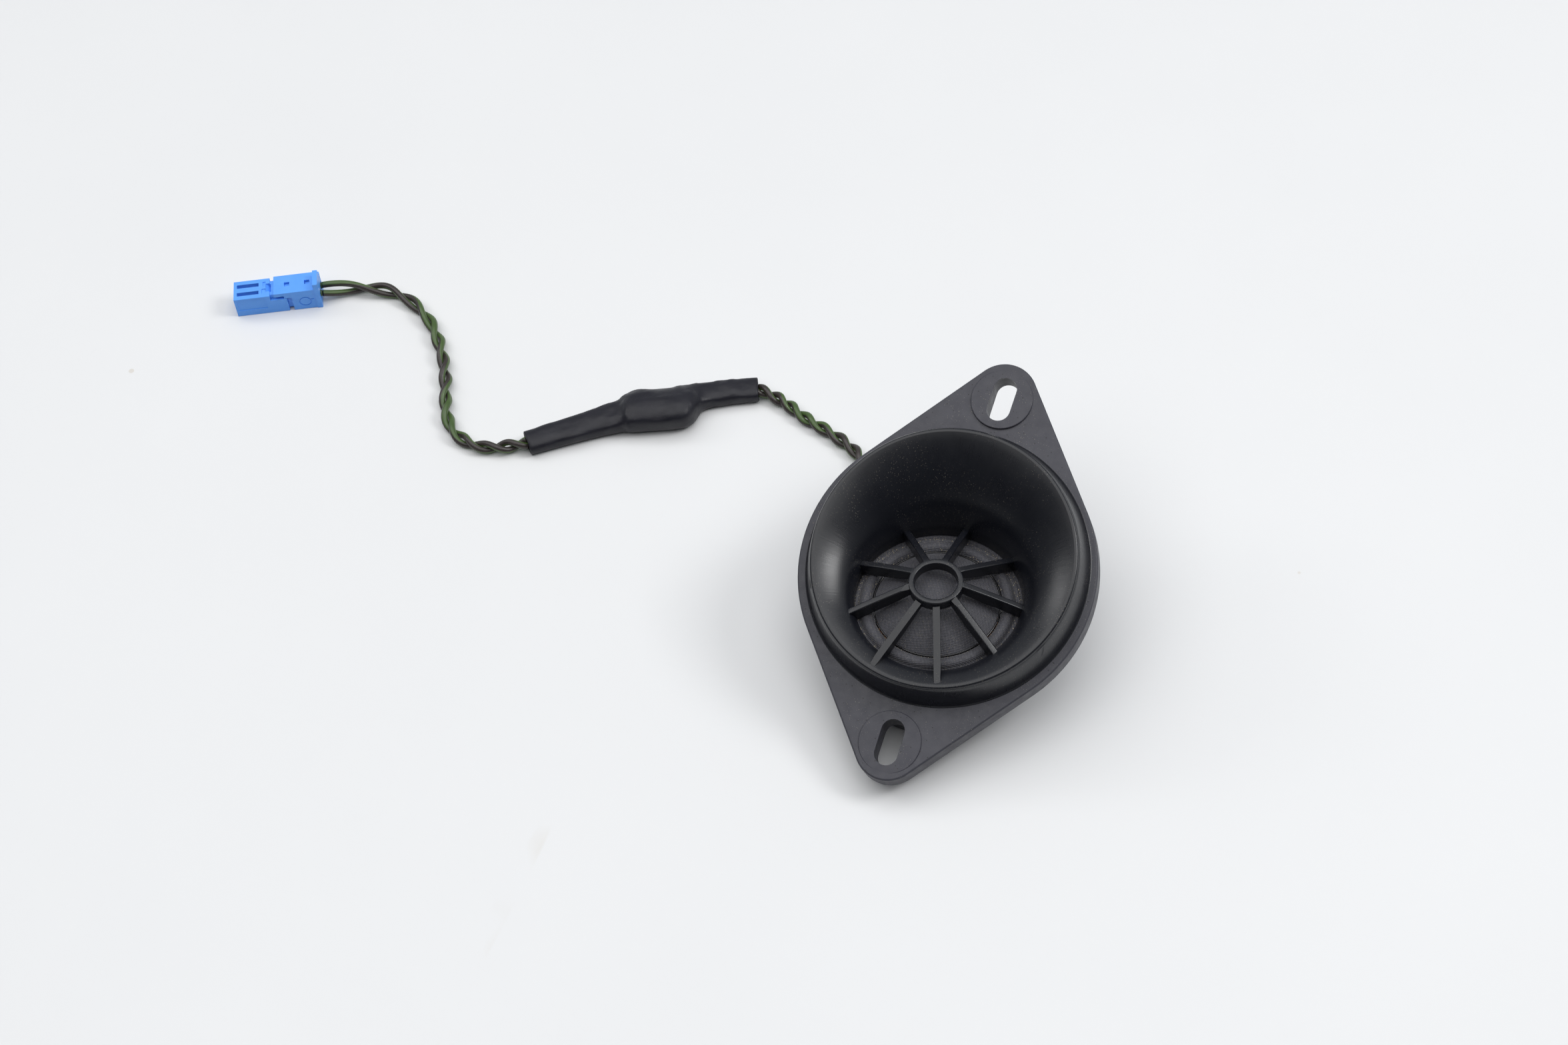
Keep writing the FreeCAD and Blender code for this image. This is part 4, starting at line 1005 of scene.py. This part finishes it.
def metal(name, colour, rough, per_mm=3.0):
    look = Look(name, Metallic=1.0)
    shade = look.mix(look.noise(0.7, 3), colour, tuple(c * 0.78 for c in colour))
    look.set("Base Color", shade)
    look.set("Roughness", look.ramp(look.noise(per_mm, 3), 0.3, 0.7, rough, rough + 0.16))
    look.bump((look.noise(per_mm * 2, 2), 0.006),)
    return look.material


def fibres(name, colour, per_mm):
    look = Look(name)
    look.shader.inputs["Sheen Weight"].default_value = 0.2
    strands = look.noise(per_mm, 5, rough=0.7)
    look.set("Base Color", look.mix(strands, tuple(c * 0.5 for c in colour), colour))
    look.set("Roughness", look.ramp(strands, 0.3, 0.7, 0.75, 0.95))
    look.bump((strands, 0.12),)
    return look.material


def resin(name, colour, rough):
    look = Look(name, IOR=1.52)
    look.set("Base Color", look.mix(look.noise(0.6, 4), colour, tuple(c * 0.7 for c in colour)))
    look.set("Roughness", look.ramp(look.noise(2.0, 3), 0.3, 0.7, rough, rough + 0.12))
    look.bump((look.noise(3.0, 3), 0.01),)
    return look.material


def white_table():
    """Near-white laminate with a few faint tan scratches."""
    look = Look("white_table", IOR=1.4)
    shade = look.mix(look.noise(0.012, 4), (0.735, 0.741, 0.748), (0.765, 0.771, 0.776))
    lines = look.noise(0.055, 2, look.stretched(1, 0.05, 1, math.radians(38)), 0.4)
    patches = look.ramp(look.noise(0.02, 2), 0.56, 0.66)
    scratches = look.math("MULTIPLY", look.ramp(lines, 0.700, 0.715), patches)
    specks = look.ramp(look.spots(0.028), 0.022, 0.016)
    marks = look.math("MULTIPLY", look.math("MAXIMUM", scratches, specks), 0.35)
    look.set("Base Color", look.mix(marks, shade, (0.50, 0.42, 0.30)))
    look.set("Roughness", look.ramp(look.noise(0.05, 3), 0.3, 0.7, 0.50, 0.60))
    return look.material


def paint(piece, material):
    piece.data.materials.clear()
    piece.data.materials.append(material)


# ---- pieces --------------------------------------------------------------------------------------

GRAINED, SATIN = grained_plastic(), moulded_satin()
SATIN_BLACK = plain_black("satin_black", 0.42)
CLOTH = woven_cloth()
WIRE = striped_wire()
TUBE = shrink_tube()
BLUE = blue_plastic()


def on_horn(place):
    """True for the collar, the bowl and the guard, which stand above the flange's face."""
    x, y, z = (c / MM for c in place)
    y, z = y - AXIS_Y, z - PLANE_Z
    v, w = y * math.cos(TILT) + z * math.sin(TILT), z * math.cos(TILT) - y * math.sin(TILT)
    in_collar = math.hypot(x, v - FOOT_V) < FOOT_R + 0.45
    in_bowl = math.hypot(x, y) < SPOKE_REACH - 2 and z + PLANE_Z > LEDGE_Z - 0.1
    return in_collar and (w > 0.05 or in_bowl)


def add_housing():
    piece = front_housing()
    paint(piece, GRAINED)
    piece.data.materials.append(SATIN)
    for face in piece.data.polygons:
        face.material_index = int(on_horn(face.center))
    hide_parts("front_housing")
    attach(piece, "housing")
    return piece


def add_cloth():
    dome, surround, bead = dome_cap(), surround_cloth(), glue_bead()
    for piece in (dome, surround):
        paint(piece, CLOTH)
    paint(bead, resin("glue", (0.02, 0.02, 0.022), 0.16))
    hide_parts("dome_diaphragm")
    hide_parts("surround")
    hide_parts("dome_glue_ring")
    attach(dome, "dome_unit")
    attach(bead, "dome_unit")
    start, end = ((0, AXIS_Y * MM, z * MM) for z in BLEND_Z)
    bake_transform(surround)
    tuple(start)
    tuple(end)


def add_sleeve():
    piece = shrink_sleeve()
    paint(piece, TUBE)
    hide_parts("splice_sleeve")
    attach(piece, "housing")
    return piece


def add_plug():
    body, cover = plug_body(), plug_lock()
    for piece, node, part in ((body, "connector_housing", "housing"), (cover, "connector_lock", "lock")):
        paint(piece, BLUE)
        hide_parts(node)
        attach(piece, part)
    return [body, cover]


def add_leads(sleeve, plug_pieces):
    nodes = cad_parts
    inside = [nodes[n] for n in IN_SLEEVE]
    plug = plug_pieces + [nodes[n] for n in IN_PLUG]
    jobs = [
        (lead_a, "lead_tweeter_side", LEAD_A, "fitting", [sleeve] + inside),
        (lead_b, "lead_connector_side", LEAD_B, "connector", plug),
    ]
    for make, node, route, far_end, on_it in jobs:
        piece, line, length = make()
        paint(piece, WIRE)
        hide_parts(node)
        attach(piece, "housing")
        tuple(c * MM for c in route[0])
        [tuple(p) for p in line]
        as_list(on_it)


def soften(node, width):
    """Small round edges on a moulded or pressed CAD part."""
    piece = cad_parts[node]
    weld = piece.modifiers.new("weld", "WELD")
    weld.merge_threshold = 0.004 * MM
    bevel = piece.modifiers.new("round edges", "BEVEL")
    bevel.width, bevel.segments, bevel.limit_method = width * MM, 3, "ANGLE"
    bevel.angle_limit = BEVEL_FROM
    bevel.harden_normals = False
    weighted = piece.modifiers.new("flat faces", "WEIGHTED_NORMAL")
    weighted.keep_sharp = False


def dress_cad_nodes():
    steel = metal("zinc_steel", (0.62, 0.63, 0.65), 0.30)
    tin = metal("tinned", (0.72, 0.72, 0.72), 0.25)
    insulation = resin("plain_insulation", (0.06, 0.10, 0.035), 0.35)
    looks = {
        "coil_former": metal("aluminium_foil", (0.80, 0.81, 0.82), 0.22),
        "voice_coil": metal("copper", (0.78, 0.40, 0.24), 0.3, 8.0),
        "coil_leadouts": metal("copper_lead", (0.78, 0.42, 0.26), 0.3),
        "diaphragm_ring": SATIN_BLACK,
        "ring_gasket": fibres("gasket_foam", (0.03, 0.03, 0.03), 4.0),
        "top_plate": steel,
        "magnet": metal("nickel", (0.70, 0.68, 0.64), 0.15),
        "magnet_cup": steel,
        "felt_damper": fibres("felt", (0.16, 0.16, 0.17), 5.0),
        "absorber_pad": fibres("foam", (0.08, 0.08, 0.09), 2.5),
        "terminal_board": resin("board", (0.28, 0.15, 0.07), 0.45),
        "terminals": tin,
        "solder_joints": tin,
        "inner_leads": insulation,
        "lead_clamp": SATIN_BLACK,
        "rear_cover": plain_black("cover_plastic", 0.46, (0.026, 0.026, 0.031)),
        "cover_screws": metal("black_oxide", (0.10, 0.10, 0.11), 0.35),
        "capacitor": resin("dipped_film", (0.5, 0.16, 0.06), 0.2),
        "capacitor_legs": tin,
        "splice_crimps": tin,
        "sleeve_wires": insulation,
        "bypass_wire": insulation,
        "connector_contacts": tin,
        "connector_wires": insulation,
    }
    for node, look in looks.items():
        paint(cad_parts[node], look)
    for node, width in (("rear_cover", 0.3), ("lead_clamp", 0.25), ("cover_screws", 0.12)):
        soften(node, width)


# ---- stage ---------------------------------------------------------------------------------------

TABLE_HALF = 3000

# place and width in metres, and watts
LAMPS = {
    "overhead": ((-0.20, -0.05, 1.25), 1.8, 18.0),
    "left": ((-1.15, 0.05, 0.75), 0.35, 1.6),
    "right": ((0.85, 0.36, 1.00), 0.45, 6.5),
}
LAMPS_AIM = (-0.05, 0.0, 0.0)
ROOM_DIM, ROOM_BRIGHT, ROOM_COLOUR = 0.04, 0.40, (0.90, 0.94, 1.0, 1.0)

# camera: its place in metres, and where its right, its top and its back point
CAMERA_AT = (0.14109, -0.3574, 0.55148)
CAMERA_AXES = ((0.9282, 0.3659, -0.0679), (-0.2548, 0.7579, 0.6006), (0.2712, -0.5401, 0.7967))
SENSOR_WIDTH, LENS = 36.0, 68.88


def add_table():
    far = TABLE_HALF
    corners = [(-far, -far, 0), (far, -far, 0), (far, far, 0), (-far, far, 0)]
    table = mesh_object("table", corners, [(0, 1, 2, 3)])
    paint(table, white_table())


def add_area_light(name, place, size, watts):
    data = bpy.data.lights.new(name, "AREA")
    data.shape, data.size, data.energy = "SQUARE", size, watts
    lamp = link(bpy.data.objects.new(name, data))
    lamp.location = place
    lamp.rotation_euler = (Vector(LAMPS_AIM) - Vector(place)).to_track_quat("-Z", "Y").to_euler()


def add_lights():
    """An overhead soft box and one on each side, in a room that is dim on the camera's side."""
    world = bpy.data.worlds.new("studio")
    world.use_nodes = True
    tree = world.node_tree
    parts = tree.nodes.new("ShaderNodeSeparateXYZ")
    tree.links.new(tree.nodes.new("ShaderNodeTexCoord").outputs["Generated"], parts.inputs[0])
    mixed = tree.nodes.new("ShaderNodeMapRange")
    limits = {"From Min": -0.5, "From Max": 0.5, "To Min": ROOM_DIM, "To Max": ROOM_BRIGHT}
    for socket, value in limits.items():
        mixed.inputs[socket].default_value = value
    tree.links.new(parts.outputs[1], mixed.inputs["Value"])
    tree.links.new(mixed.outputs["Result"], tree.nodes["Background"].inputs["Strength"])
    tree.nodes["Background"].inputs["Color"].default_value = ROOM_COLOUR
    bpy.context.scene.world = world
    for name, (place, size, watts) in LAMPS.items():
        add_area_light(name, place, size, watts)


def add_camera():
    data = bpy.data.cameras.new("camera")
    data.sensor_width, data.lens = SENSOR_WIDTH, LENS
    data.clip_start, data.clip_end = 0.01, 20.0
    camera = link(bpy.data.objects.new("camera", data))
    turn = Matrix(CAMERA_AXES).transposed().to_4x4()
    camera.matrix_world = Matrix.Translation(CAMERA_AT) @ turn
    bpy.context.scene.camera = camera


add_camera()
add_leads(add_sleeve(), add_plug())
add_housing()
add_cloth()
dress_cad_nodes()
add_table()
add_lights()
bpy.context.scene.view_settings.view_transform = "Standard"
